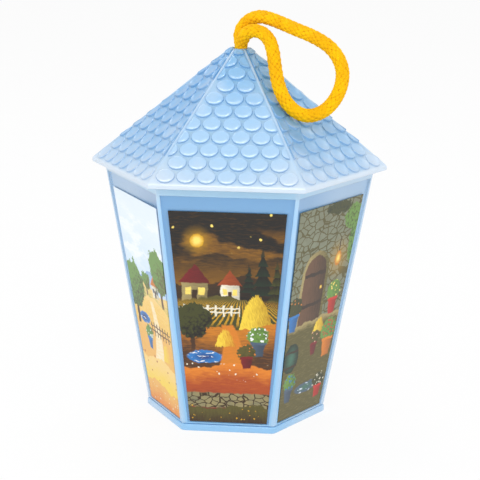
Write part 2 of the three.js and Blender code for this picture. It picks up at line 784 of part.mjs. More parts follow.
function makeLed() {
  const radius = ledDiameter / 2;
  const flange = ledFlange / 2;
  const domeZ = ledHeight - radius;
  const profile = [
    [0, 0], [flange, 0], [flange, ledFlangeThickness], [radius, ledFlangeThickness], [radius, domeZ],
  ];
  const rings = 4;
  for (let i = 1; i < rings; i += 1) {
    const angle = i * Math.PI / 2 / rings;
    profile.push([radius * Math.cos(angle), domeZ + radius * Math.sin(angle)]);
  }
  profile.push([0, ledHeight]);
  const dome = turned(profile, 14);
  dome.translate(0, 0, ledBottom);
  const half = ledLegWidth / 2;
  const legs = [-1, 1].map((side) => {
    const y = side * ledLegSpacing / 2;
    const drop = block(-half, half, y - half, y + half, ledLegZ - half, ledBottom + half);
    const reach = block(-half, boardFaceX - gap, y - half, y + half, ledLegZ - half, ledLegZ + half);
    return drop.add(reach);
  });
  addPiece('led', geometryOf(join([solidOf(dome), ...legs])), 0xfff3c8, 0.15);
}

function makeWires() {
  const startZ = tabTop - wireDiameter / 2;
  const endZ = boardTop - wireSeat;
  const startY = -contactY + contactThickness / 2 + gap;
  const endX = boardFaceX - gap;
  const colors = { wire_black: 0x1c1c1e, wire_red: 0xc22a22 };
  Object.keys(colors).forEach((name, i) => {
    const x = cellX[i];
    const endY = -ledLegSpacing - (1 + i) * 2 * wireDiameter;
    const route = new THREE.CatmullRomCurve3([
      new THREE.Vector3(x, startY, startZ),
      new THREE.Vector3(x, startY + wireLead, startZ),
      new THREE.Vector3((x + endX) / 2, (startY + endY) / 2, startZ),
      new THREE.Vector3(endX - wireLead, endY, endZ),
      new THREE.Vector3(endX, endY, endZ),
    ]);
    addPiece(name, tube(route, wireDiameter, 6, 14), colors[name], 0.5);
  });
}

// Lamp cover and flame-shaped diffuser

function makeLampCover() {
  const innerRadius = coverRadius - coverWall / apothemRatio;
  const innerShoulder = coverShoulder - coverWall / 2;
  const innerTop = coverTop - coverWall;
  const outside = hexagon(coverRadius, coverRadius, coverBottom, coverShoulder)
    .add(hexagon(coverRadius, coverTopRadius, coverShoulder, coverTop));
  const candle = rod(candleDiameter, 0, 0, coverTop - coverWall, candleTop, 20);
  const inside = hexagon(innerRadius, innerRadius, coverBottom - overcut, innerShoulder)
    .add(hexagon(innerRadius, coverTopRadius - coverWall, innerShoulder, innerTop));
  const boreTop = doorBottom + screwHeadHeight + coverScrewLength + gap;
  const bosses = coverScrewX.map((x) => (
    rod(bossDiameter, x, 0, coverBottom, coverTop, boreSides).intersect(outside)
  ));
  const bores = coverScrewX.map((x) => rod(screwHole, x, 0, coverBottom - overcut, boreTop, boreSides));
  const ledHole = rod(ledFlange + 2 * gap, 0, 0, coverBottom, candleTop + overcut, 14);
  const solid = cut(outside.add(candle), [inside]);
  addPiece('lamp_cover', geometryOf(cut(join([solid, ...bosses]), [...bores, ledHole])), whitePlastic, 0.5);
}

function makeFlame() {
  const wide = flameDiameter / 2;
  const boreRadius = ledDiameter / 2 + flameBoreClearance;
  const boreTop = ledBottom + ledHeight + flameBoreHeadroom;
  const handle = (out, up) => new THREE.Vector2(wide * out, flameBottom + flameHeight * up);
  const curve = new THREE.CubicBezierCurve(
    new THREE.Vector2(boreRadius + flameWall, flameBottom),
    handle(flameBellyRatio, flameBellyHeightRatio),
    handle(flameNeckRatio, flameNeckHeightRatio),
    new THREE.Vector2(0, flameBottom + flameHeight),
  );
  const outside = curve.getPoints(9).map((point) => [point.x, point.y]);
  outside[outside.length - 1][0] = 0;
  const profile = [
    [0, boreTop], [boreRadius * boreTaperRatio, boreTop - boreRadius], [boreRadius, boreTop - 2 * boreRadius],
    [boreRadius, flameBottom], ...outside,
  ];
  addPiece('flame_diffuser', turned(profile, 18), 0xffe9b0, 0.4);
}

// Cord: neck in the hole, free loop, and the knot that holds it under the roof

// The stretch of a curve between two distances along it
class Stretch extends THREE.Curve {
  constructor(curve, from, to) {
    super();
    this.curve = curve;
    this.from = from / curve.getLength();
    this.to = to / curve.getLength();
  }

  getPoint(t, target) {
    return this.curve.getPointAt(this.from + (this.to - this.from) * t, target);
  }

  getTangent(t, target) {
    return this.curve.getTangentAt(this.from + (this.to - this.from) * t, target);
  }
}

function makeCord() {
  const points = cordRoute.map((point) => new THREE.Vector3(...point));
  const curve = new THREE.CatmullRomCurve3(points, false, 'centripetal');
  curve.arcLengthDivisions = 400;
  const length = curve.getLength();
  const stubs = [
    new Stretch(curve, 0, neckStubLength),
    new Stretch(curve, length - neckStubLength, length),
  ];
  const throat = rod(neckDiameter, 0, 0, knotTop + gap, cordRoute[0][2] + overcut, boreSides);
  const neck = join([throat, ...stubs.map((stub) => solidOf(tube(stub, cordDiameter, cordSides, 4)))]);
  addPiece('cord_neck', geometryOf(neck), cordYellow, 0.85);
  const loop = new Stretch(curve, neckStubLength + gap, length - neckStubLength - gap);
  addPiece('cord_loop', tube(loop, cordDiameter, cordSides, 40), cordYellow, 0.85);
  const knotRadius = knotDiameter / 2;
  const profile = [[0, knotTop - knotHeight]];
  const half = knotHeight / 2;
  const rings = 8;
  for (let i = 1; i < rings; i += 1) {
    const angle = -Math.PI / 2 + i * Math.PI / rings;
    const radius = knotRadius * Math.cos(angle) ** knotShapeRatio;
    profile.push([radius, knotTop - half + half * Math.sin(angle)]);
  }
  profile.push([0, knotTop]);
  addPiece('cord_knot', turned(profile, 14), cordYellow, 0.85);
}

makeBasePlate();
makeBatteries();
makeContacts();
makeBoard();
makeSwitch();
makeLed();
makeWires();
makeLampCover();
makeFlame();
makeBatteryDoor();
doorScrewX.forEach((x, i) => makeScrew(`battery_door_screw_${i + 1}`, x, doorScrewZ, doorScrewLength));
coverScrewX.forEach((x, i) => makeScrew(`cover_screw_${i + 1}`, x, doorBottom, coverScrewLength));
makeShell();
makePictures();
makeRoof();
makeCord();

export default lantern;
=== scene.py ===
import math
import bmesh
import bpy
from mathutils import Matrix, Vector


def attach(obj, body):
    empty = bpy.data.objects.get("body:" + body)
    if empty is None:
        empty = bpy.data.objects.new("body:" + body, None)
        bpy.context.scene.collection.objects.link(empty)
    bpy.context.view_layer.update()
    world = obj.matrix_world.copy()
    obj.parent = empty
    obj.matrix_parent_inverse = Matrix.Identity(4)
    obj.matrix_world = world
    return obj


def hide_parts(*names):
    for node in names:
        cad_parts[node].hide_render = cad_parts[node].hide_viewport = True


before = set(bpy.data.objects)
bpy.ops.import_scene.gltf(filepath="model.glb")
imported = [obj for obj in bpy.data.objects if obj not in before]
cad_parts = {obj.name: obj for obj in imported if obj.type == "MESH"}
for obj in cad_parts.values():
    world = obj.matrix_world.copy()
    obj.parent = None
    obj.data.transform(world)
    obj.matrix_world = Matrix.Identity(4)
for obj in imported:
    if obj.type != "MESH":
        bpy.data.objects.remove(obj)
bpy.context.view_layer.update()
scene = bpy.context.scene
scene.view_settings.view_transform = "Standard"
mm = 0.001
print("frame: %d nodes" % len(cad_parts))

# The camera stands where the photograph was taken from
photoView = {
    "azimuth": 5.11, "elevation": 13.4, "roll": 0.76,  # degrees; the roll leans the picture clockwise
    "distance": 796.6, "targetHeight": 77.8,  # mm
    "lens": 134.5, "sensor": 36, "shiftX": 0.005,
}


def aimCamera():
    azimuth, elevation, roll = (math.radians(photoView[k]) for k in ("azimuth", "elevation", "roll"))
    back = Vector((
        math.sin(azimuth) * math.cos(elevation),
        -math.cos(azimuth) * math.cos(elevation),
        math.sin(elevation),
    ))
    level = Vector((math.cos(azimuth), math.sin(azimuth), 0))
    upright = back.cross(level)
    across = level * math.cos(roll) + upright * math.sin(roll)
    up = upright * math.cos(roll) - level * math.sin(roll)
    stand = Matrix((across, up, back)).transposed().to_4x4()
    stand.translation = (Vector((0, 0, photoView["targetHeight"])) + back * photoView["distance"]) * mm
    lens = bpy.data.cameras.new("photoCamera")
    lens.lens = photoView["lens"]
    lens.sensor_width = photoView["sensor"]
    lens.shift_x = photoView["shiftX"]
    lens.clip_start = 0.01
    camera = bpy.data.objects.new("photoCamera", lens)
    camera.matrix_world = stand
    scene.collection.objects.link(camera)
    scene.camera = camera


aimCamera()


def worked(operation, backwards=False):  # an arithmetic method; backwards: the wire stands on the right
    def method(self, other):
        return self.graph.calc(operation, *((other, self) if backwards else (self, other)))
    return method


class Wire:  # a socket's value, with the arithmetic that materials and node trees need
    __add__, __radd__ = worked("ADD"), worked("ADD", True)
    __sub__, __rsub__ = worked("SUBTRACT"), worked("SUBTRACT", True)
    __mul__, __rmul__ = worked("MULTIPLY"), worked("MULTIPLY", True)
    __truediv__, __rtruediv__ = worked("DIVIDE"), worked("DIVIDE", True)

    def __init__(self, graph, socket):
        self.graph = graph
        self.socket = socket

    def __neg__(self):
        return self * -1.0

    def __abs__(self):
        return self.graph.calc("ABSOLUTE", self)


class Graph:
    def __init__(self, tree):
        self.tree = tree

    def node(self, kind, settings=None, inputs=None, output=0):
        made = self.tree.nodes.new(kind)
        for key, value in (settings or {}).items():
            setattr(made, key, value)
        for key, value in (inputs or {}).items():
            if isinstance(value, Wire):
                self.tree.links.new(value.socket, made.inputs[key])
            else:
                made.inputs[key].default_value = value
        return Wire(self, made.outputs[output]) if len(made.outputs) else made

    def calc(self, operation, *values):
        return self.node("ShaderNodeMath", {"operation": operation}, dict(enumerate(values)))

    def least(self, first, *others):
        for other in others:
            first = self.calc("MINIMUM", first, other)
        return first

    def most(self, first, *others):
        for other in others:
            first = self.calc("MAXIMUM", first, other)
        return first

    def length(self, a, b):
        return self.calc("SQRT", a * a + b * b)

    def vector(self, x=0.0, y=0.0, z=0.0):
        return self.node("ShaderNodeCombineXYZ", inputs={0: x, 1: y, 2: z})

    def blend(self, factor, first, second):
        return self.node("ShaderNodeMixShader", inputs={0: factor, 1: first, 2: second})

    def seenBy(self, *rays):  # 1 where one of these kinds of ray arrives
        path = self.node("ShaderNodeLightPath").socket.node
        return self.most(*(Wire(self, path.outputs["Is %s Ray" % kind]) for kind in rays))


class Finish(Graph):  # a material
    def __init__(self, name):
        self.material = bpy.data.materials.new(name)
        self.material.use_nodes = True
        super().__init__(self.material.node_tree)
        self.tree.nodes.clear()
        self.place = self.node("ShaderNodeTexCoord", output="Object")

    def axes(self):  # the piece's own X, Y and Z, in mm
        parts = self.node("ShaderNodeSeparateXYZ", inputs={0: self.place}).socket.node
        return [Wire(self, parts.outputs[i]) * 1000.0 for i in range(3)]

    def ramp(self, value, low, high):  # 0 at low and 1 at high, with soft ends
        return self.node(
            "ShaderNodeMapRange", {"interpolation_type": "SMOOTHSTEP"},
            {"Value": value, "From Min": low, "From Max": high},
        )

    def mix(self, factor, first, second):
        return self.node(
            "ShaderNodeMix", {"data_type": "RGBA", "clamp_factor": True},
            {0: factor, 6: first, 7: second}, output=2,
        )

    def noise(self, scale, detail=2.0, at=None):  # scale is per metre on Object coordinates
        return self.node("ShaderNodeTexNoise", inputs={
            "Vector": at or self.place, "Scale": scale, "Detail": detail,
        })

    def cells(self, scale, at=None, feature="F1"):
        return self.node("ShaderNodeTexVoronoi", {"feature": feature}, {
            "Vector": at or self.place, "Scale": scale,
        }, output="Distance")

    def attribute(self, name):
        return self.node("ShaderNodeAttribute", {"attribute_name": name}, output="Fac")

    def bump(self, height, strength, distance):
        return self.node("ShaderNodeBump", inputs={
            "Height": height, "Strength": strength, "Distance": distance,
        })

    def surface(self, **sockets):
        return self.node("ShaderNodeBsdfPrincipled", inputs={
            key.replace("_", " "): value for key, value in sockets.items()
        })

    def done(self, shader):
        self.node("ShaderNodeOutputMaterial", inputs={"Surface": shader})
        return self.material


class Recipe(Graph):  # a Geometry Nodes tree with named inputs
    def __init__(self, name, sizes):
        super().__init__(bpy.data.node_groups.new(name, "GeometryNodeTree"))
        face = self.tree.interface
        face.new_socket("Geometry", in_out="OUTPUT", socket_type="NodeSocketGeometry")
        face.new_socket("Geometry", in_out="INPUT", socket_type="NodeSocketGeometry")
        kinds = {int: "Int", float: "Float", bpy.types.Object: "Object", bpy.types.Material: "Material"}
        self.sizes = {}
        for label, value in sizes.items():
            made = face.new_socket(label, in_out="INPUT", socket_type="NodeSocket" + kinds[type(value)])
            self.sizes[made.identifier] = value
        self.entry = self.tree.nodes.new("NodeGroupInput")

    def given(self, label):
        return Wire(self, self.entry.outputs[label])

    def turn(self, x=0.0, y=0.0, z=0.0):
        return self.node("FunctionNodeEulerToRotation", inputs={0: self.vector(x, y, z)})

    def around(self, shape, count):  # copies turned about Z, evenly
        spots = self.node("GeometryNodeMeshLine", inputs={"Count": count, "Offset": (0, 0, 0)})
        step = self.node("GeometryNodeInputIndex") * (math.tau / count)
        return self.node("GeometryNodeInstanceOnPoints", inputs={
            "Points": spots, "Instance": shape, "Rotation": self.turn(z=step),
        })

    def done(self, shape):
        real = self.node("GeometryNodeRealizeInstances", inputs={0: shape})
        dressed = self.node("GeometryNodeSetMaterial", inputs={0: real, "Material": self.given("Material")})
        way = self.tree.nodes.new("NodeGroupOutput")
        self.tree.links.new(dressed.socket, way.inputs[0])

    def cook(self, carrier, name):  # runs the tree on the carrier and keeps the result as a plain mesh
        modifier = carrier.modifiers.new("recipe", "NODES")
        modifier.node_group = self.tree
        for key, value in self.sizes.items():
            modifier[key] = value
        return addObject(name, finalMesh(carrier))


def tint(red, green, blue):  # a colour as a screen gives it, 0 to 255
    parts = [c / 255 for c in (red, green, blue)]
    return tuple(c / 12.92 if c < 0.04045 else ((c + 0.055) / 1.055) ** 2.4 for c in parts) + (1.0,)


def addObject(name, mesh):
    mesh.name = name
    piece = bpy.data.objects.new(name, mesh)
    scene.collection.objects.link(piece)
    return piece


def finalMesh(carrier):  # what its modifiers make of it; the carrier itself goes
    ready = carrier.evaluated_get(bpy.context.evaluated_depsgraph_get())
    mesh = bpy.data.meshes.new_from_object(ready)
    bpy.data.objects.remove(carrier)
    return mesh


def smooth(mesh, angle=None):  # smooth shading, but for edges sharper than the angle
    mesh.polygons.foreach_set("use_smooth", [True] * len(mesh.polygons))
    if angle is not None:
        mesh.set_sharp_from_angle(angle=math.radians(angle))
    return mesh


def skin(rings, loop=False):  # faces between rings of points; ends are closed unless the rings form a loop
    count = len(rings[0])
    points = [p for ring in rings for p in ring]
    faces = []
    for i in range(len(rings) if loop else len(rings) - 1):
        a, b = i * count, (i + 1) % len(rings) * count
        faces += [(a + j, a + (j + 1) % count, b + (j + 1) % count, b + j) for j in range(count)]
    if not loop:
        faces += [tuple(range(count)), tuple(range(len(points) - count, len(points)))]
    return points, faces


def joined(parts):  # several (points, faces) as one
    points, faces = [], []
    for morePoints, moreFaces in parts:
        start = len(points)
        points += list(morePoints)
        faces += [tuple(start + i for i in face) for face in moreFaces]
    return points, faces


welds = {"made": 1e-7, "cad": 2e-6}  # m, points closer than this become one
easing = {"from": 28, "shade": 40}  # degrees between faces: edges are eased, and shaded as edges, from these


def cleaned(mesh, weld=None):  # its faces turned outwards
    work = bmesh.new()
    work.from_mesh(mesh)
    if weld is not None:
        bmesh.ops.remove_doubles(work, verts=work.verts, dist=weld)
    bmesh.ops.recalc_face_normals(work, faces=work.faces)
    work.to_mesh(mesh)
    work.free()
    return mesh


def rawMesh(name, shape, **marks):  # a mesh from points in mm, each with its values of the marks
    mesh = bpy.data.meshes.new(name)
    mesh.from_pydata([Vector(p) * mm for p in shape[0]], [], shape[1])
    for mark, values in marks.items():
        mesh.attributes.new(mark, "FLOAT", "POINT").data.foreach_set("value", values)
    return mesh


def closedMesh(name, shape, angle, **marks):
    return smooth(cleaned(rawMesh(name, shape, **marks), welds["made"]), angle)


def settle(piece, finishes, body, stands, slot):  # stands names the CAD nodes that the piece replaces
    if finishes:
        keep = [face.material_index if len(finishes) > 1 else 0 for face in piece.data.polygons]
        piece.data.materials.clear()
        for finish in finishes:
            piece.data.materials.append(finish)
        piece.data.polygons.foreach_set("material_index", keep)
    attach(piece, body)
    if stands:
        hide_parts(*stands)


def dress(node, finish):  # a CAD node that stays, with a fuller material
    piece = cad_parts[node]
    for holder in piece.material_slots:
        holder.material = finish


def bevelled(rough, name, width, segments, by):  # a new piece with its edges eased
    bevel = rough.modifiers.new("edges", "BEVEL")
    bevel.width = width * mm
    bevel.segments = segments
    bevel.limit_method = by
    bevel.angle_limit = math.radians(easing["from"])
    bevel.use_clamp_overlap = True
    return addObject(name, smooth(finalMesh(rough), easing["shade"]))


def easedCopy(node, name, width, finish, body, slot, segments=2):  # a CAD node with its edges eased
    mesh = cleaned(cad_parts[node].data.copy(), welds["cad"])
    piece = bevelled(addObject(name + "Rough", mesh), name, width, segments, "ANGLE")
    settle(piece, [finish], body, [node], slot)


# The cord: a loop of braided cotton that comes out of the flat top of the roof
cordSizes = {
    "diameter": 6.05, "throatDiameter": 5.9, "sunkDiameter": 5.0,
    "taper": 7.5, "taperSpan": 158, "taperPower": 0.8,  # mm that an end takes to grow, mm of line, its curve
    "strands": 8, "stitch": 1.5, "relief": 0.5,  # strands each way, mm along the cord, mm deep
    "dive": 0.35,  # share of the relief that a strand keeps where it goes under
    "around": 80, "step": 0.28, "pathStep": 4,  # points round the cord, mm between rings and path points
    "route": [  # mm
        (0, 1.5, 165.0), (-0.3, 2.6, 168.6), (0.9, 3.0, 172.2), (4.0, 2.0, 175.4), (8.4, 0, 177.0),
        (13, -2.3, 176.5), (18.5, -5, 174.9), (24.5, -8, 172.9), (30.3, -11, 171.1),
        (35.2, -13.6, 169.1), (39.6, -15.8, 166.4), (43, -17.9, 162.6), (44.9, -19.3, 158.2),
        (45.2, -20.2, 154), (44.4, -20.9, 149.8), (42.4, -21.5, 145.4), (39.2, -22, 141.5),
        (35.3, -22.5, 139.1), (31, -23, 138.3), (26.9, -23.4, 139.5), (23.4, -23.2, 142.2),
        (20.6, -21.8, 145.7), (18.4, -19.2, 150.1), (16.9, -15.8, 154.8), (15.9, -12.8, 159.1),
        (15.0, -10.4, 163.4), (13.4, -8.5, 167.6), (10.6, -7.1, 170.5), (7.5, -6.2, 171.6),
        (4.5, -5.2, 171.1), (2.2, -3.9, 169.2), (0.8, -2.0, 165.8),
    ],
    "sunkEnds": [(0, 0.7, 161.2), (0.3, -0.7, 161.2)],  # in the hole of the roof
    "throat": [(0, 0, 155.5), (0, 0, 158), (0, 0, 161.5)],
    "knotCentre": 150.8, "knotSpread": 1.3, "knotRise": 1.9, "knotDiameter": 4.7, "knotPoints": 36,
}


def smoothLine(points, step, closed=False):  # evenly spaced points on a smooth line through the given ones
    points = [Vector(p) for p in points]
    count = len(points)
    fine = 24  # points on the curve between two given ones
    dense = []
    for i in range(count if closed else count - 1):
        if closed:
            a, b, c, d = (points[(i + k) % count] for k in (-1, 0, 1, 2))
        else:
            b, c = points[i], points[i + 1]
            a = points[i - 1] if i else b * 2 - c
            d = points[i + 2] if i + 2 < count else c * 2 - b
        for k in range(fine):
            t = k / fine
            dense.append(0.5 * (
                2 * b + (c - a) * t + (2 * a - 5 * b + 4 * c - d) * t * t + (3 * b - a - 3 * c + d) * t ** 3
            ))
    dense.append(points[0] if closed else points[-1])
    lengths = [0.0]
    for p, q in zip(dense, dense[1:]):
        lengths.append(lengths[-1] + (q - p).length)
    total = lengths[-1]
    steps = max(2, round(total / step))
    line, j = [], 0
    for i in range(steps if closed else steps + 1):
        want = total * i / steps
        while j < len(dense) - 2 and lengths[j + 1] < want:
            j += 1
        line.append(dense[j].lerp(dense[j + 1], (want - lengths[j]) / max(lengths[j + 1] - lengths[j], 1e-9)))
    return line, total


def framed(line, side=None, closed=False):  # every point with two directions across the line, carried along
    last = len(line) - 1
    for i, centre in enumerate(line):
        before = line[i - 1] if i or closed else centre
        after = line[i + 1 if i < last else 0] if i < last or closed else centre
        tangent = (after - before).normalized()
        side = tangent.orthogonal() if side is None else side - tangent * side.dot(tangent)
        side.normalize()
        yield centre, side, tangent.cross(side)


def braidHeight(turn, along):  # 0 between the strands, 1 on their crowns
    a = cordSizes["strands"] * turn + along / cordSizes["stitch"] / 2
    b = cordSizes["strands"] * turn - along / cordSizes["stitch"] / 2
    across, other = (a, b) if (math.floor(a) + math.floor(b)) % 2 == 0 else (b, a)
    across = 2 * (across - math.floor(across)) - 1
    other = other - math.floor(other)
    dive = cordSizes["dive"]
    return math.sqrt(max(0.0, 1 - across * across)) * (dive + (1 - dive) * math.sin(math.pi * other))


def braidedTube(name, points, radiusAt, closed=False):
    line, total = smoothLine(points, cordSizes["step"], closed)
    count, around = len(line), cordSizes["around"]
    rings, heights = [], []
    seam = Vector((1, 0.1, 0))  # each ring of points begins on this side
    for i, (centre, side, other) in enumerate(framed(line, seam, closed)):
        along = total * i / count
        radius = radiusAt(along / total) if callable(radiusAt) else radiusAt
        ring = []
        for j in range(around):
            height = braidHeight(j / around, along)
            angle = math.tau * j / around
            reach = radius - cordSizes["relief"] * (1 - height)
            ring.append(centre + (side * math.cos(angle) + other * math.sin(angle)) * reach)
            heights.append(height)
        rings.append(ring)
    mesh = smooth(cleaned(rawMesh(name, skin(rings, loop=closed), braid=heights)))
    return addObject(name, mesh), line, total


def cordCotton():
    f = Finish("cordCotton")
    crown = f.attribute("braid")
    fibre = f.noise(2600, 3)
    patch = f.ramp(f.noise(420, 3), 0.4, 0.62)  # where the stitches stand out more
    # painted shade: the hollows between the strands are darker than the crowns
    hollowShade = f.mix(f.ramp(fibre, 0.35, 0.65), tint(200, 126, 0), tint(222, 152, 0))
    high = f.mix(f.ramp(f.noise(160), 0.35, 0.7), tint(238, 176, 0), tint(247, 192, 0))
    colour = f.mix(f.ramp(crown + patch * 0.35, 0.1, 0.62), hollowShade, high)
    shadeFleck = f.ramp(f.noise(950), 0.58, 0.68) * f.ramp(crown, 0.8, 0.35)  # painted shade: dark spots in the hollows
    thread = f.ramp(f.noise(1500), 0.62, 0.7)
    colour = f.mix(shadeFleck * 0.25, colour, tint(164, 96, 4))
    return f.done(f.surface(
        Base_Color=f.mix(thread * 0.45, colour, tint(254, 210, 24)), Roughness=0.9, Sheen_Weight=0.02,
        Specular_IOR_Level=0.2, Normal=f.bump(fibre + patch * 0.6, 0.45, 0.00014),
    ))


def makeCord():
    sizes = cordSizes
    full, sunk = sizes["diameter"] / 2, sizes["sunkDiameter"] / 2
    cotton = cordCotton()
    route = [sizes["sunkEnds"][0], *sizes["route"], sizes["sunkEnds"][1]]

    def radiusAt(share):
        grown = min(1.0, min(share, 1 - share) * sizes["taperSpan"] / sizes["taper"])
        return sunk + (full - sunk) * grown ** sizes["taperPower"]

    loop, line, total = braidedTube("cordLoop", route, radiusAt)
    throat = braidedTube("cordThroat", sizes["throat"], sizes["throatDiameter"] / 2)[0]
    settle(loop, [cotton], "roof", ["cord_loop", "cord_neck"], "cord")
    settle(throat, [cotton], "roof", [], "cord")
    every = round(sizes["pathStep"] / sizes["step"])
    path = [p * mm for p in line[::every]] + [line[-1] * mm]
    tuple(path[0])
    total * mm
    lobes = []  # the stopper knot under the roof, three lobes wound into each other
    for i in range(sizes["knotPoints"]):
        t = math.tau * i / sizes["knotPoints"]
        lobes.append((
            sizes["knotSpread"] * (math.sin(t) + 2 * math.sin(2 * t)),
            sizes["knotSpread"] * (math.cos(t) - 2 * math.cos(2 * t)),
            sizes["knotCentre"] - sizes["knotRise"] * math.sin(3 * t),
        ))
    knot = braidedTube("cordKnot", lobes, sizes["knotDiameter"] / 2, closed=True)[0]
    settle(knot, [cotton], "roof", ["cord_knot"], "cord")
    print("cord: %.1f mm from hole to hole" % total)


makeCord()

# The stage: a pale floor, white surroundings and soft lamps
stageSizes = {
    "floorRadius": 3.0, "floorCorners": 64, "lampTarget": 0.08,  # m; the lamps aim at this height
    "worldLight": 0.68, "floorGlow": 0.9, "floorBounce": 0.5,
    "lamps": {  # place (m), width and height (m), power (W), colour
        "leftSoftbox": ((-1.1, -0.5, 0.16), (0.8, 0.3), 3.2, (0.92, 0.97, 1.0)),
        "rightSoftbox": ((1.1, -0.5, 0.16), (0.8, 0.3), 2.7, (0.94, 0.98, 1.0)),
        "frontSoftbox": ((0.1, -0.95, 0.95), (0.7, 0.7), 5.8, (1.0, 1.0, 1.0)),
        "crestLamp": ((-0.05, 0.5, 1.2), (0.8, 0.18), 3.1, (1.0, 1.0, 1.0)),
        "leftCrestLamp": ((-0.6, 0.75, 1.0), (0.3, 0.14), 0.4, (1.0, 1.0, 1.0)),
        "rightCrestLamp": ((0.7, 0.65, 1.0), (0.3, 0.14), 0.25, (1.0, 1.0, 1.0)),
    },
}


def makeStage():
    radius, corners = stageSizes["floorRadius"], stageSizes["floorCorners"]
    turns = [math.tau * i / corners for i in range(corners)]
    mesh = bpy.data.meshes.new("floor")
    rim = [(math.cos(a) * radius, math.sin(a) * radius, 0) for a in turns]
    mesh.from_pydata(rim, [], [tuple(range(corners))])
    floor = addObject("floor", mesh)
    f = Finish("floorPaper")
    paper = f.surface(Base_Color=f.mix(f.noise(40), tint(240, 240, 240), tint(246, 246, 246)), Roughness=0.9)
    glow = f.node("ShaderNodeEmission", inputs={"Color": (1, 1, 1, 1), "Strength": 1.0})
    seen = f.seenBy("Camera", "Glossy")
    bounce = (1 - seen) * stageSizes["floorBounce"]  # what the pieces get back from the floor
    lit = f.blend(seen * stageSizes["floorGlow"] + bounce, paper, glow)
    under = f.node("ShaderNodeNewGeometry", output="Backfacing")  # so that the underside can be looked at
    mesh.materials.append(f.done(f.blend(under, lit, f.node("ShaderNodeBsdfTransparent"))))
    world = bpy.data.worlds.new("studio")
    world.use_nodes = True
    scene.world = world
    g = Graph(world.node_tree)
    g.tree.nodes.clear()
    direct = g.seenBy("Camera", "Glossy", "Transmission")  # plain white where it is looked at
    white, soft = [
        g.node("ShaderNodeBackground", inputs={"Color": (1, 1, 1, 1), "Strength": strength})
        for strength in (1.0, stageSizes["worldLight"])
    ]
    g.node("ShaderNodeOutputWorld", inputs={"Surface": g.blend(direct, soft, white)})
    for name, (spot, (width, height), power, colour) in stageSizes["lamps"].items():
        lamp = bpy.data.lights.new(name, "AREA")
        lamp.shape = "RECTANGLE"
        lamp.size, lamp.size_y = width, height
        lamp.energy = power
        lamp.color = colour
        holder = bpy.data.objects.new(name, lamp)
        holder.location = spot
        aim = Vector((0, 0, stageSizes["lampTarget"])) - Vector(spot)
        holder.rotation_euler = aim.to_track_quat("-Z", "Y").to_euler()
        scene.collection.objects.link(holder)


makeStage()
print("stage: floor, world and %d lamps" % len(stageSizes["lamps"]))

# Sizes of the two main mouldings, in mm
apothem = math.cos(math.pi / 6)
roofSizes = {
    "eaveRadius": 65.0, "eaveHeight": 111.4, "eaveLip": 2.0, "rise": 50.0, "topRadius": 4.45,
    "wall": 1.8, "apexBlock": 8.0, "holeRadius": 3.3, "edge": 0.55,
    "collarRadius": 55.69, "collarBottom": 107.0, "collarTop": 120.6, "collarWall": 1.5,
    "webThickness": 1.4, "webSpacing": 30.0, "webBottom": 114.1,
    "ridgeWidth": 0.72, "ridgeProud": 0.45,
    "perSide": 8, "collarPerSide": 4,  # points along a side of the hexagon
}
roofFoot = roofSizes["eaveHeight"] + roofSizes["eaveLip"]
roofTop = roofFoot + roofSizes["rise"]
roofRun = (roofSizes["eaveRadius"] - roofSizes["topRadius"]) * apothem
roofPitch = math.atan2(roofSizes["rise"], roofRun)
roofSlope = math.hypot(roofSizes["rise"], roofRun)
tileSizes = {
    "rowPitch": 6.8, "pitch": 8.5, "width": 7.8, "length": 7.25, "eaveMargin": 0.9, "ridgeMargin": 1.2,
    "leastWidth": 1.8, "headRoom": 3.3, "topMargin": 0.4, "leastSide": 0.15,
    "lift": 0.8, "headLift": 0.12, "root": 0.25, "draft": 0.2, "edgeDrop": 0.14,
    "edge": 0.16, "rim": 0.5, "slope": 0.85, "bowl": 1.35, "dish": 0.36, "fullReach": 2.2,
    "around": 14, "rings": 6, "wallRings": 2,
}
shellSizes = {
    "footRadius": 39.3, "eaveRadius": 59.4, "bottom": 3.3, "top": 113.8, "wall": 2.571,
    "recessFoot": 3.9, "recessHead": 107.6, "recessDepth": 1.0, "postFoot": 2.4, "postHead": 1.1,
    "cornerEdge": 1.0, "recessEdge": 0.45, "floorEdge": 0.3, "rimEdge": 0.35,
}
shellWidening = shellSizes["eaveRadius"] - shellSizes["footRadius"]
shellLean = math.atan(shellWidening * apothem / roofSizes["eaveHeight"])
zones = {  # mm, where a colour of the roof or the shell begins and where it is full
    "roofMiddle": (8, 42), "roofOuter": (44, 66), "eaveLip": (114.6, 113.2),
    "flank": (-0.6, 1.0), "flankFade": (72, 30),
    "foot": (4, 22), "head": (98, 110), "recess": (10, 110), "corner": (1.9, 0.4),
}


def moulded(name, colourOf, bloom=0.0):  # glossy, slightly milky plastic; bloom pales it at a flat angle
    f = Finish(name)
    cloud = f.noise(45)
    body = f.surface(
        Base_Color=colourOf(f, cloud), Roughness=f.noise(900) * 0.12 + 0.24,
        Coat_Weight=0.85, Coat_Roughness=0.14, Coat_IOR=1.65, IOR=1.5,
        Sheen_Weight=bloom, Sheen_Roughness=0.3,
        Normal=f.bump(f.noise(260), 0.08, 0.0004),
    )
    through = f.node("ShaderNodeBsdfTranslucent", inputs={"Color": tint(182, 218, 248)})
    return f.done(f.blend(0.22, body, through))


def flankOf(x, y, f):  # 0 on the front and back, 1 on the four sides between them
    return f.ramp(abs(x) - abs(y) * math.tan(math.pi / 6), *zones["flank"])


def milky(f, scale):  # irregular patches where more light comes through
    return f.ramp(f.noise(scale), 0.5, 0.68)


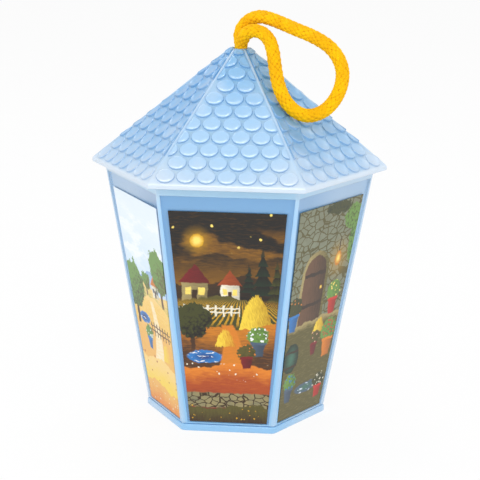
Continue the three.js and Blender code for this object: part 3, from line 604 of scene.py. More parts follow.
def roofColour(inner, middle, outer):  # paler towards the eave, with a painted highlight on its lip and painted shade on the four flanks
    def colourOf(f, cloud):
        x, y, z = f.axes()
        reach = f.length(x, y) + cloud * 10 - 5
        plain = f.mix(f.ramp(reach, *zones["roofMiddle"]), inner, middle)
        plain = f.mix(f.ramp(reach, *zones["roofOuter"]), plain, outer)
        # painted shade: the four flanks are deeper, fading out towards the eave
        flankShade = flankOf(x, y, f) * f.ramp(reach, *zones["flankFade"])
        plain = f.mix(flankShade * 0.7, plain, tint(100, 173, 226))
        plain = f.mix(milky(f, 62) * 0.3, plain, tint(226, 240, 252))
        # painted highlight along the eave's lip
        return f.mix(f.ramp(z, *zones["eaveLip"]), plain, tint(228, 240, 250))
    return colourOf


def tileColour(inner, middle, outer):
    top = roofColour(inner, middle, outer)

    def colourOf(f, cloud):  # painted shade on the walls round the tiles, less of it on the flanks
        x, y = f.axes()[:2]
        # painted shade: the shadow line round each tile's raised rim
        depth = f.attribute("lip") * (0.56 - flankOf(x, y, f) * 0.24)
        return f.mix(depth, top(f, cloud), tint(88, 146, 202))
    return colourOf


def cornerHighlight(f):  # where a painted highlight goes: 1 along the six upright corners
    x, y = f.axes()[:2]
    sixth = f.calc("ARCTAN2", y, x) * (3 / math.pi)
    offset = abs(sixth - f.calc("ROUND", sixth)) * (math.pi / 3)
    return f.ramp(offset * f.length(x, y), *zones["corner"])


def sideLit(f, plain, share):  # painted light: paler on the left and the right, from half of the radius outwards
    x, z = f.axes()[::2]
    out = abs(x) / (z * (shellWidening / roofSizes["eaveHeight"]) + shellSizes["footRadius"])
    return f.mix(f.ramp(out, 0.53, 0.8) * share, plain, tint(216, 234, 249))


def frameColour(f, cloud):  # painted light under the eave, at the left and right, and painted highlights on the corners; paler at the foot
    z = f.axes()[2] + cloud * 12 - 6
    foot = f.mix(f.ramp(z, *zones["foot"]), tint(152, 209, 249), tint(141, 207, 251))
    # painted light under the eave
    plain = f.mix(f.ramp(z, *zones["head"]), foot, tint(190, 230, 253))
    plain = f.mix(milky(f, 70) * 0.2, plain, tint(206, 230, 251))
    return f.mix(cornerHighlight(f) * 0.38, sideLit(f, plain, 0.6), tint(220, 239, 254))


def recessColour(f, cloud):
    # painted shade: the recess floor is deeper than the frame and darker towards the top, with painted light
    # at the left and right
    z = f.axes()[2] + cloud * 20 - 10
    return sideLit(f, f.mix(f.ramp(z, *zones["recess"]), tint(138, 192, 240), tint(130, 184, 230)), 0.48)


def baseColour(f, cloud):
    # painted light at the left and the right
    return sideLit(f, f.mix(cloud, tint(148, 205, 247), tint(160, 212, 250)), 0.4)


def ridgeHighlightColour(f, cloud):
    # painted highlight: the ridge beads are paler than the roof
    return f.mix(cloud, tint(184, 218, 247), tint(202, 229, 250))


skinTints = (tint(142, 199, 241), tint(176, 217, 247), tint(220, 235, 247))  # from the roof's top outwards
tileTints = (tint(143, 200, 243), tint(178, 218, 249), tint(219, 234, 247))
plastics = {
    "skin": moulded("roofSkinPlastic", roofColour(*skinTints)),
    "tiles": moulded("roofTilePlastic", tileColour(*tileTints)),
    "ridge": moulded("roofRidgePlastic", ridgeHighlightColour),
    "frame": moulded("shellFramePlastic", frameColour, bloom=0.9),
    "recess": moulded("shellRecessPlastic", recessColour, bloom=0.9),
    "base": moulded("basePlastic", baseColour, bloom=0.6),
}


def roofRadius(z):
    return roofSizes["eaveRadius"] - (z - roofFoot) * roofRun / apothem / roofSizes["rise"]


def hexRing(radius, z, perSide):  # points round a hexagon with a corner at +X
    turns = [math.pi * k / 3 for k in range(6)]
    corners = [Vector((radius * math.cos(a), radius * math.sin(a), z)) for a in turns]
    return [corners[k].lerp(corners[(k + 1) % 6], j / perSide) for k in range(6) for j in range(perSide)]


def roundRing(radius, z):
    ring = []
    for point in hexRing(1.0, 0.0, roofSizes["perSide"]):
        flat = Vector((point.x, point.y)).normalized() * radius
        ring.append(Vector((flat.x, flat.y, z)))
    return ring


def makeRoofSkin():
    s = roofSizes
    drop = s["wall"] / math.cos(roofPitch)
    cavityTop = roofTop - s["apexBlock"]
    eave, low, edge = s["eaveRadius"], s["eaveHeight"], s["edge"]
    hexes = [  # radius and height, from the rim of the hole down the outside and up the inside
        (s["topRadius"] - 0.35, roofTop), (s["topRadius"] + 0.05, roofTop - 0.25),
        (roofRadius(roofFoot + edge), roofFoot + edge), (eave - 0.18, roofFoot - 0.05),
        (eave, roofFoot - 0.35), (eave, low + 0.5), (eave - 0.15, low + 0.14), (eave - 0.5, low),
        (roofRadius(low + drop), low), (roofRadius(cavityTop + drop), cavityTop),
    ]
    rings = [
        roundRing(s["holeRadius"], cavityTop), roundRing(s["holeRadius"], roofTop - 0.35),
        roundRing(s["holeRadius"] + 0.12, roofTop - 0.08),
    ]
    rings += [hexRing(radius, z, s["perSide"]) for radius, z in hexes]
    wall, radius, low, high = s["collarWall"] / apothem, s["collarRadius"], s["collarBottom"], s["collarTop"]
    collar = [
        (radius, low + 0.3), (radius, high), (radius - wall, high), (radius - wall, low + 0.3),
        (radius - wall + 0.3, low), (radius - 0.3, low),
    ]
    collarRings = [hexRing(radius, z, s["collarPerSide"]) for radius, z in collar]
    shape = joined([skin(rings, loop=True), skin(collarRings, loop=True)])
    piece = addObject("roofSkin", closedMesh("roofSkin", shape, 30))
    settle(piece, [plastics["skin"]], "roof", ["roof"], "blue_plastic")


def sixfold(name, shape, angle, finish):  # a shape repeated on every side of the roof
    carrier = addObject(name + "Carrier", closedMesh(name, shape, angle))
    recipe = Recipe(name + "Around", {"Count": 6, "Material": finish})
    recipe.done(recipe.around(recipe.given("Geometry"), recipe.given("Count")))
    settle(recipe.cook(carrier, name), [], "roof", [], "blue_plastic")


def makeRoofRibs():  # the ribs behind the collar, which sit on the shell's rim
    s = roofSizes
    near = s["collarRadius"] * apothem - s["collarWall"] / 2
    far = roofRadius(s["webBottom"] + s["wall"] / math.cos(roofPitch)) * apothem + 0.5
    top = s["webBottom"] + (far - near) * math.tan(roofPitch)
    outline = [(-near, s["webBottom"]), (-far, s["webBottom"]), (-near, top)]
    ribs = []
    for x in (-s["webSpacing"] / 2, s["webSpacing"] / 2):
        ends = (x - s["webThickness"] / 2, x + s["webThickness"] / 2)
        ribs.append(skin([[(end, y, z) for y, z in outline] for end in ends]))
    sixfold("roofRibs", joined(ribs), 30, plastics["skin"])


def makeRidges():  # a rounded bead up every ridge
    s = roofSizes
    foot = Vector((s["eaveRadius"] - 0.5, 0, roofFoot - 0.35))
    top = Vector((s["topRadius"] + 0.1, 0, roofTop - 0.5))
    along = (top - foot).normalized()
    up = Vector((along.z, 0, -along.x))
    width, proud = s["ridgeWidth"], s["ridgeProud"]
    section = [
        (-width, -0.9), (-width, -0.12), (-width * 0.8, proud * 0.62), (-width * 0.45, proud),
        (0, proud * 1.12), (width * 0.45, proud), (width * 0.8, proud * 0.62), (width, -0.12), (width, -0.9),
    ]
    rings = []
    for share, scale in ((0, 0.75), (0.012, 1.0), (0.5, 0.97), (0.985, 0.8), (1, 0.55)):
        centre = foot.lerp(top, share)
        rings.append([centre + Vector((0, 1, 0)) * a * scale + up * b * scale for a, b in section])
    sixfold("roofRidges", skin(rings), 50, plastics["ridge"])


def tileRoom(up):  # free half width of a roof side, at a distance up the slope
    half = roofSizes["eaveRadius"] / 2
    return half - (half - roofSizes["topRadius"] / 2) * up / roofSlope - tileSizes["ridgeMargin"]


def ovalOutline():
    t = tileSizes
    points = []
    for i in range(t["around"]):
        a = math.tau * i / t["around"] - math.pi / 2
        points.append(Vector((math.cos(a) * t["width"] / 2, (1 + math.sin(a)) * t["length"] / 2)))
    return points


def cutOutline(points, spare):  # what lies inside the line where spare(point) is 0
    kept = []
    for p, q in zip(points, points[1:] + points[:1]):
        a, b = spare(p), spare(q)
        if a >= 0:
            kept.append(p)
        if (a >= 0) != (b >= 0):
            kept.append(p.lerp(q, a / (a - b)))
    clean = []
    for p in kept:
        if not clean or (p - clean[-1]).length > tileSizes["leastSide"]:
            clean.append(p)
    if len(clean) > 1 and (clean[0] - clean[-1]).length < tileSizes["leastSide"]:
        clean.pop()
    return clean


def tileShape(outline, x=0.0, up=0.0):  # raised at its tip, sunk into the roof at its head
    t = tileSizes
    loop = list(zip(outline, outline[1:] + outline[:1]))
    area = sum(p.x * q.y - q.x * p.y for p, q in loop) / 2
    reach = 2 * area / sum((q - p).length for p, q in loop)  # about half of a tile's width
    middle = sum(outline, Vector((0, 0))) / len(outline)
    small = min(1.0, reach / t["fullReach"])  # narrow cut tiles are dished less

    def level(y):  # a tile's top, from its tip to its head
        return t["headLift"] + (t["lift"] - t["headLift"]) * (1 - y / t["length"])

    def sag(y):  # how deep its dish is
        return t["dish"] * (1 - 0.9 * y / t["length"]) * small

    rings = [  # how far in from the outline, and the height there
        (-t["draft"], lambda y: -t["root"]), (0.0, lambda y: level(y) - t["edgeDrop"]), (t["edge"], level),
        (t["rim"], lambda y: level(y) - sag(y) * 0.16), (t["slope"], lambda y: level(y) - sag(y) * 0.55),
        (t["bowl"], lambda y: level(y) - sag(y)),
    ]
    made = []
    for inset, height in rings:
        scale = 1 - inset * small / reach
        ring = [middle + (p - middle) * scale for p in outline]
        made.append([(p.x + x, p.y + up, height(p.y)) for p in ring])
    return skin(made)


def lipOf(shape):  # 1 on the wall round a tile, which its first rings make, and 0 on its top
    count, rings, wallRings = len(shape[0]), tileSizes["rings"], tileSizes["wallRings"]
    return [1.0 if i * rings < wallRings * count else 0.0 for i in range(count)]


def makeTiles():
    t = tileSizes
    whole, cut = [], []
    row = 0
    while t["eaveMargin"] + row * t["rowPitch"] + t["headRoom"] < roofSlope:
        up = t["eaveMargin"] + row * t["rowPitch"]
        room = tileRoom(up + t["headRoom"])
        x = 0.0 if row % 2 == 0 else t["pitch"] / 2
        while x - t["width"] / 2 < room:
            centres = (x, -x) if x else (x,)
            if x + t["width"] / 2 <= tileRoom(up + t["length"] * 0.6) and up + t["length"] < roofSlope:
                whole += [(c, up) for c in centres]
            elif not x or room - (x - t["width"] / 2) >= t["leastWidth"]:
                for c in centres:
                    outline = cutOutline(ovalOutline(), lambda p: tileRoom(up + p.y) - c - p.x)
                    outline = cutOutline(outline, lambda p: tileRoom(up + p.y) + c + p.x)
                    outline = cutOutline(outline, lambda p: roofSlope - t["topMargin"] - up - p.y)
                    cut.append(tileShape(outline, c, up))
            x += t["pitch"]
        row += 1
    carrier = addObject("tilePlaces", bpy.data.meshes.new("tilePlaces"))
    carrier.data.from_pydata([(x * mm, y * mm, 0) for x, y in whole], [], [])
    tile = tileShape(ovalOutline())
    oneTile = addObject("tileWhole", closedMesh("tileWhole", tile, 60, lip=lipOf(tile)))
    cutLip = [value for shape in cut for value in lipOf(shape)]
    cutTiles = addObject("tilesCut", closedMesh("tilesCut", joined(cut), 60, lip=cutLip))
    recipe = Recipe("tileCourses", {
        "Tile": oneTile, "Cut Tiles": cutTiles, "Side Count": 6, "Roof Pitch": roofPitch,
        "Eave Distance": roofSizes["eaveRadius"] * apothem * mm, "Eave Height": roofFoot * mm,
        "Material": plastics["tiles"],
    })
    wholeShape, cutShape = [
        recipe.node("GeometryNodeObjectInfo", inputs={"Object": recipe.given(label)}, output="Geometry")
        for label in ("Tile", "Cut Tiles")
    ]
    courses = recipe.node("GeometryNodeInstanceOnPoints", inputs={
        "Points": recipe.given("Geometry"), "Instance": wholeShape,
    })
    side = recipe.node("GeometryNodeJoinGeometry", inputs={0: courses})
    recipe.tree.links.new(cutShape.socket, side.socket.node.inputs[0])
    laid = recipe.node("GeometryNodeTransform", inputs={
        "Geometry": side, "Rotation": recipe.turn(x=recipe.given("Roof Pitch")),
        "Translation": recipe.vector(0.0, -recipe.given("Eave Distance"), recipe.given("Eave Height")),
    })
    recipe.done(recipe.around(laid, recipe.given("Side Count")))
    tiles = recipe.cook(carrier, "roofTiles")
    for spare in (oneTile, cutTiles):
        bpy.data.objects.remove(spare)
    settle(tiles, [], "roof", [], "blue_plastic")
    print("roof: %d whole and %d cut tiles a side" % (len(whole), len(cut)))


makeRoofSkin()
makeRoofRibs()
makeRidges()
makeTiles()


def shellRadius(z):
    return shellSizes["footRadius"] + shellWidening * z / roofSizes["eaveHeight"]


def sidePoint(side, x, z, depth=0.0):  # a point on a side of the shell, at a depth below its face
    inward = Vector((0, math.cos(shellLean), math.sin(shellLean)))
    point = Vector((x, -shellRadius(z) * apothem, z)) + inward * depth
    return Matrix.Rotation(math.pi / 3 * side, 3, "Z") @ point


def makeShell():
    s = shellSizes
    bottom, top = s["bottom"], s["top"]
    work = bmesh.new()
    weights = work.edges.layers.float.new("bevel_weight_edge")

    def point(p):
        return work.verts.new(Vector(p) * mm)

    def ring(radius, z):  # corner k stands before side k
        turns = [Matrix.Rotation(math.pi / 3 * (k - 2), 3, "Z") for k in range(6)]
        return [point(turn @ Vector((radius, 0, z))) for turn in turns]

    outFoot, outHead = ring(shellRadius(bottom), bottom), ring(shellRadius(top), top)
    inFoot, inHead = ring(shellRadius(bottom) - s["wall"], bottom), ring(shellRadius(top) - s["wall"], top)

    def face(*corners, width=None, finish=0):
        made = work.faces.new(corners)
        made.material_index = finish
        if width is not None:
            for edge in made.edges:
                edge[weights] = max(edge[weights], width / s["cornerEdge"])

    for k in range(6):
        n = (k + 1) % 6
        footHalf = shellRadius(s["recessFoot"]) / 2 - s["postFoot"]
        headHalf = shellRadius(s["recessHead"]) / 2 - s["postHead"]
        corners = [
            (-footHalf, s["recessFoot"]), (footHalf, s["recessFoot"]), (headHalf, s["recessHead"]),
            (-headHalf, s["recessHead"]),
        ]
        rim = [point(sidePoint(k, x, z)) for x, z in corners]
        floor = [point(sidePoint(k, x, z, s["recessDepth"])) for x, z in corners]
        outer = [outFoot[k], outFoot[n], outHead[n], outHead[k]]
        for j in range(4):
            face(outer[j], outer[(j + 1) % 4], rim[(j + 1) % 4], rim[j])
            face(rim[j], rim[(j + 1) % 4], floor[(j + 1) % 4], floor[j])
        face(*floor, width=s["floorEdge"], finish=1)
        face(outHead[k], outHead[n], inHead[n], inHead[k], width=s["rimEdge"])
        face(inHead[k], inHead[n], inFoot[n], inFoot[k])
        face(inFoot[k], inFoot[n], outFoot[n], outFoot[k], width=s["rimEdge"])
        for a, b, width in [(outFoot[k], outHead[k], s["cornerEdge"])] + [
            (rim[j], rim[(j + 1) % 4], s["recessEdge"]) for j in range(4)
        ]:
            work.edges.get((a, b))[weights] = width / s["cornerEdge"]
    bmesh.ops.recalc_face_normals(work, faces=work.faces)
    mesh = bpy.data.meshes.new("shellRough")
    work.to_mesh(mesh)
    work.free()
    piece = bevelled(addObject("shellRough", mesh), "lanternShell", s["cornerEdge"], 3, "WEIGHT")
    settle(piece, [plastics["frame"], plastics["recess"]], "shell", ["lantern_shell"], "blue_plastic")


makeShell()
easedCopy("base_plate", "basePlate", 0.3, plastics["base"], "base", "blue_plastic")
easedCopy("battery_door", "batteryDoor", 0.25, plastics["base"], "door", "blue_plastic")
print("shell and base")

# The printed pictures: six painted landscapes, one for each side
printSizes = {
    "foot": 4.3, "wobble": 1.5, "ripple": 0.5,  # mm: where the sheets begin, how far the brush strays
    "wobbleScale": 0.3, "rippleScale": 1.4, "edge": 0.28, "roughness": 0.42, "coat": 0.12,
}


class Painting(Finish):  # painted in layers; x across from the middle and y up from the foot, in mm
    def __init__(self, name, side):
        super().__init__(name)
        x, y, z = self.axes()
        turn = math.pi / 3 * side
        across = x * math.cos(turn) + y * math.sin(turn)
        height = z - printSizes["foot"]

        def strayed(a, b):  # a, led astray in wide swings and in small ones
            for kind in ("wobble", "ripple"):
                noise = self.noise(printSizes[kind + "Scale"], 2, self.vector(*b, side * 7.0))
                a = a + (noise - 0.5) * printSizes[kind]
            return a

        self.x, self.y = strayed(across, (across, height)), strayed(height, (height, across))
        self.spot = self.vector(self.x, self.y, side * 3.0)
        self.level = self.noise(1.0, 3, self.vector(self.x * 0.25, self.y * 1.3, side * 5.0))
        self.upright = self.noise(1.0, 3, self.vector(self.x * 1.3, self.y * 0.25, side * 5.0))
        self.patch = self.noise(0.16, 2, self.spot)
        self.dab = self.cells(0.75, self.spot) - self.cells(1.7, self.spot) * 0.4
        self.canvas = None

    def soft(self, depth, edge=printSizes["edge"]):
        return self.ramp(depth, -edge, edge)

    def lay(self, mask, near, far=None, by=0.4, brush=None, rough=1.1):  # one layer, in strokes of two tones
        far = far or tuple(c * 0.55 for c in near[:3]) + (1.0,)
        strokes = (brush or self.level) * rough
        paint = self.mix(strokes + by - rough / 2, near, far)
        self.canvas = paint if self.canvas is None else self.mix(mask, self.canvas, paint)

    def box(self, x, y, width, height):  # depth inside a rectangle that stands on y
        up = self.y - y
        return self.least(width / 2 - abs(self.x - x), up, height - up)

    def oval(self, x, y, width, height):
        a, b = (self.x - x) / (width / 2), (self.y - y) / (height / 2)
        return (1.0 - self.length(a, b)) * (min(width, height) / 2)

    def sky(self, top, foot, low, high):
        self.lay(None, top, foot, 1.0 - self.ramp(self.y, low, high), rough=0.5)

    def cloud(self, low, high, near, far, cover):
        puff = self.noise(1.0, 3, self.vector(self.x * 0.05, self.y * 0.13, cover * 50))
        band = self.least(self.ramp(self.y, low, low + 8), self.ramp(self.y, high, high - 8))
        self.lay(self.ramp(puff, cover, cover + 0.1) * band, near, far, 0.5, rough=1.4)

    def stars(self, low, colour, size=0.16):
        points = self.ramp(self.cells(0.19, self.spot), size, size * 0.5)
        self.lay(points * self.ramp(self.y, low, low + 6), colour, colour)

    def hill(self, crest, wave, width, shift, near, far, span, upright=False):
        top = self.calc("SINE", self.x / width + shift) * wave + self.patch * 5 + (crest - 2.5)
        depth = top - self.y
        self.lay(self.soft(depth), near, far, self.ramp(depth, 0, span), self.upright if upright else None)

    def furrows(self, low, high, x, near, far):  # rows that meet at a far point
        depth = self.least(self.y - low, high - self.y)
        fan = (self.x - x) / (high + 6 - self.y)
        rows = self.calc("SINE", fan * 40.0)
        self.lay(self.soft(depth, 1.5) * self.ramp(rows, 0.0, 0.6), near, far)

    def path(self, x, top, sway, width, grow, near, far):
        down = top - self.y
        middle = self.calc("SINE", down / 9) * sway + x
        depth = self.least(width / 2 + down * grow - abs(self.x - middle), down)
        self.lay(self.soft(depth, 0.5), near, far, 0.5, rough=1.4)

    def water(self, x, y, width, height, near, far, glint):
        depth = self.oval(x, y, width, height)
        self.lay(self.soft(depth), near, far, self.ramp(depth, 0, height / 2), rough=0.8)
        self.lay(self.soft(depth) * self.ramp(self.level, 0.58, 0.64), glint, glint)

    def cottage(self, x, y, width, height, wall, roof, glow, door):
        side = self.x - x
        reach = abs(side)
        up = self.y - y
        lit = self.ramp(side, -width, width * 0.8)
        self.lay(self.soft(self.box(x, y, width, height)), wall, None, lit)
        cover = self.least((width / 2 + 1.4) - reach - (up - height * 0.9) * 0.8, up - height * 0.9)
        self.lay(self.soft(cover), roof, None, lit, rough=1.4)
        pane = self.least(width * 0.12 - abs(reach - width * 0.26),
                          height * 0.17 - abs(up - height * 0.52))
        self.lay(self.soft(pane, 0.2), glow, None, 0.2)
        self.lay(self.soft(self.least(width * 0.1 - reach, height * 0.58 - up, up), 0.2), door)

    def broadTree(self, x, y, size, near, far, bark):
        side, up = self.x - x, self.y - y
        trunk = self.least(size * 0.07 + up * 0.01 - abs(side), up, size - up)
        self.lay(self.soft(trunk), bark, None, 0.4, self.upright)
        crown = self.oval(x, y + size * 1.05, size * 1.3, size * 1.15)
        leaves = crown + (self.patch - 0.5) * size * 0.5 - self.dab * 1.6 + 0.6
        light = self.ramp(side * 0.7 - up, -size * 1.6, -size * 0.5)
        self.lay(self.soft(leaves), near, far, light, self.dab, 1.6)

    def fir(self, x, y, width, height, near, far):
        side = abs(self.x - x)
        rise = (self.y - y) / height
        tier = self.calc("FRACT", rise * 5.0)
        depth = self.least((1.0 - rise) * (1.2 - tier * 0.5) * (width / 2) - side, self.y - y, 1.0 - rise)
        self.lay(self.soft(depth), near, far, tier, self.upright, 0.9)

    def haystack(self, x, y, width, height, near, far):
        side = (self.x - x) / (width / 2)
        dome = 1.0 - (self.y - y) / height - side * side
        straw = self.noise(1.0, 3, self.vector(self.x * 1.6 + self.y * 0.5, self.y * 0.3 - self.x * 0.2))
        ragged = self.least(dome * (height / 2) + (straw - 0.5) * 2.2, self.y - y + (straw - 0.5) * 2.5)
        self.lay(self.soft(ragged), near, far, self.ramp(side, -0.9, 1.3), straw, 1.6)

    def fence(self, x, y, width, height, gap, near):
        post = 0.42 - abs(self.calc("FRACT", self.x / gap) - 0.5) * gap
        up = self.y - y
        rails = [0.32 - abs(up - height * share) for share in (0.35, 0.72)]
        depth = self.least(self.most(post, *rails), self.box(x, y, width, height))
        self.lay(self.soft(depth, 0.18), near, None, 0.3, self.upright)

    def stones(self, x, y, width, height, scale, flat, near, far, joint):
        depth = self.box(x, y, width, height)
        spot = self.vector(self.x * scale, self.y * scale * flat)
        gaps = self.cells(1.0, spot, "DISTANCE_TO_EDGE")
        mask = self.soft(depth, 0.4)
        self.lay(mask, near, far, 0.5, self.patch * 0.6 + self.level * 0.4, 2.2)
        self.lay(mask * self.ramp(gaps, 0.1, 0.03), joint, None, 0.3)

    def arch(self, x, y, width, height, near, far, upright=True):
        side, up = self.x - x, self.y - y
        over = self.calc("MAXIMUM", up - height, 0.0)
        depth = self.least(width / 2 - self.length(side, over), up)
        light = self.ramp(side, -width * 0.6, width * 0.7)
        self.lay(self.soft(depth), near, far, light, self.upright if upright else None)

    def disc(self, x, y, width, height, near, far):
        depth = self.oval(x, y, width, height)
        self.lay(self.soft(depth), near, far, self.ramp(depth, height / 2.5, 0), rough=0.6)

    def halo(self, x, y, width, colour, strength):
        self.lay(self.ramp(self.oval(x, y, width, width), 0, width / 2) * strength, colour, colour)

    def pot(self, x, y, width, height, clay, leaf, bloom):
        side, up = self.x - x, self.y - y
        reach = abs(side)
        body = self.least(width * 0.32 + up * (width * 0.18 / height) - reach, up, height - up)
        leaves = self.oval(x, y + height * 1.55, width * 1.5, height * 1.35) - self.dab * 1.2 + 0.5
        self.lay(self.soft(leaves), leaf, None, self.ramp(side, -width, width), self.dab, 1.5)
        self.bloom(leaves, bloom, 0.62)
        self.lay(self.soft(body), clay, None, self.ramp(side, -width * 0.7, width * 0.5), rough=0.5)
        rim = self.least(width * 0.56 - reach, 0.6 - abs(up - height))
        self.lay(self.soft(rim, 0.2), clay, None, 0.0)

    def foliage(self, x, y, width, height, near, far):
        leaves = self.oval(x, y, width, height) - self.dab * 1.6 + (self.patch - 0.5) * 3 + 0.6
        self.lay(self.soft(leaves), near, far, 0.5, self.dab, 1.6)

    def bloom(self, depth, colour, scale, size=0.34):  # small flowers where the depth is above 0
        petals = self.ramp(self.cells(scale, self.spot), size, size * 0.7)
        self.lay(self.soft(depth) * petals, colour, None, 0.2)

    def meadow(self, low, high, colour, scale, size):
        self.bloom(self.least(self.y - low, high - self.y), colour, scale, size)

    def beam(self, x0, y0, x1, y1, width, near, far=None):  # a straight timber or bough
        dx, dy = x1 - x0, y1 - y0
        length = math.hypot(dx, dy)
        along = (self.x - x0) * (dx / length) + (self.y - y0) * (dy / length)
        off = abs((self.x - x0) * (-dy / length) + (self.y - y0) * (dx / length))
        self.lay(self.soft(self.least(width / 2 - off, along, length - along)), near, far, 0.4)

    def printed(self):
        return self.done(self.surface(
            Base_Color=self.canvas, Roughness=printSizes["roughness"], Coat_Weight=printSizes["coat"],
            Coat_Roughness=0.2, Normal=self.bump(self.noise(700), 0.05, 0.0002),
        ))


inks = {
    "night": (16, 10, 4), "umber": (58, 36, 10), "bark": (74, 44, 18), "bronze": (150, 100, 10),
    "gold": (214, 160, 24), "straw": (240, 205, 60), "hay": (176, 132, 20), "cream": (246, 238, 214),
    "white": (246, 248, 250), "rust": (170, 72, 20), "orange": (222, 128, 32), "amber": (198, 120, 20),
    "wine": (120, 22, 24), "red": (196, 44, 30), "tan": (166, 148, 96), "olive": (88, 80, 28),
    "moss": (60, 62, 16), "leaf": (104, 144, 62), "pine": (22, 40, 22), "teal": (62, 108, 88),
    "blue": (44, 120, 190), "deepBlue": (28, 56, 120), "slate": (74, 92, 112), "grey": (142, 152, 148),
    "stone": (128, 134, 112), "sky": (206, 226, 244), "haze": (228, 238, 248), "sand": (242, 206, 128),
    "dune": (232, 176, 84), "rose": (236, 176, 150), "snow": (222, 232, 244), "ice": (150, 180, 220),
    "indigo": (24, 30, 74), "glow": (255, 224, 110), "brown": (104, 70, 44), "drab": (112, 112, 88),
}
ink = {name: tint(*colour) for name, colour in inks.items()}

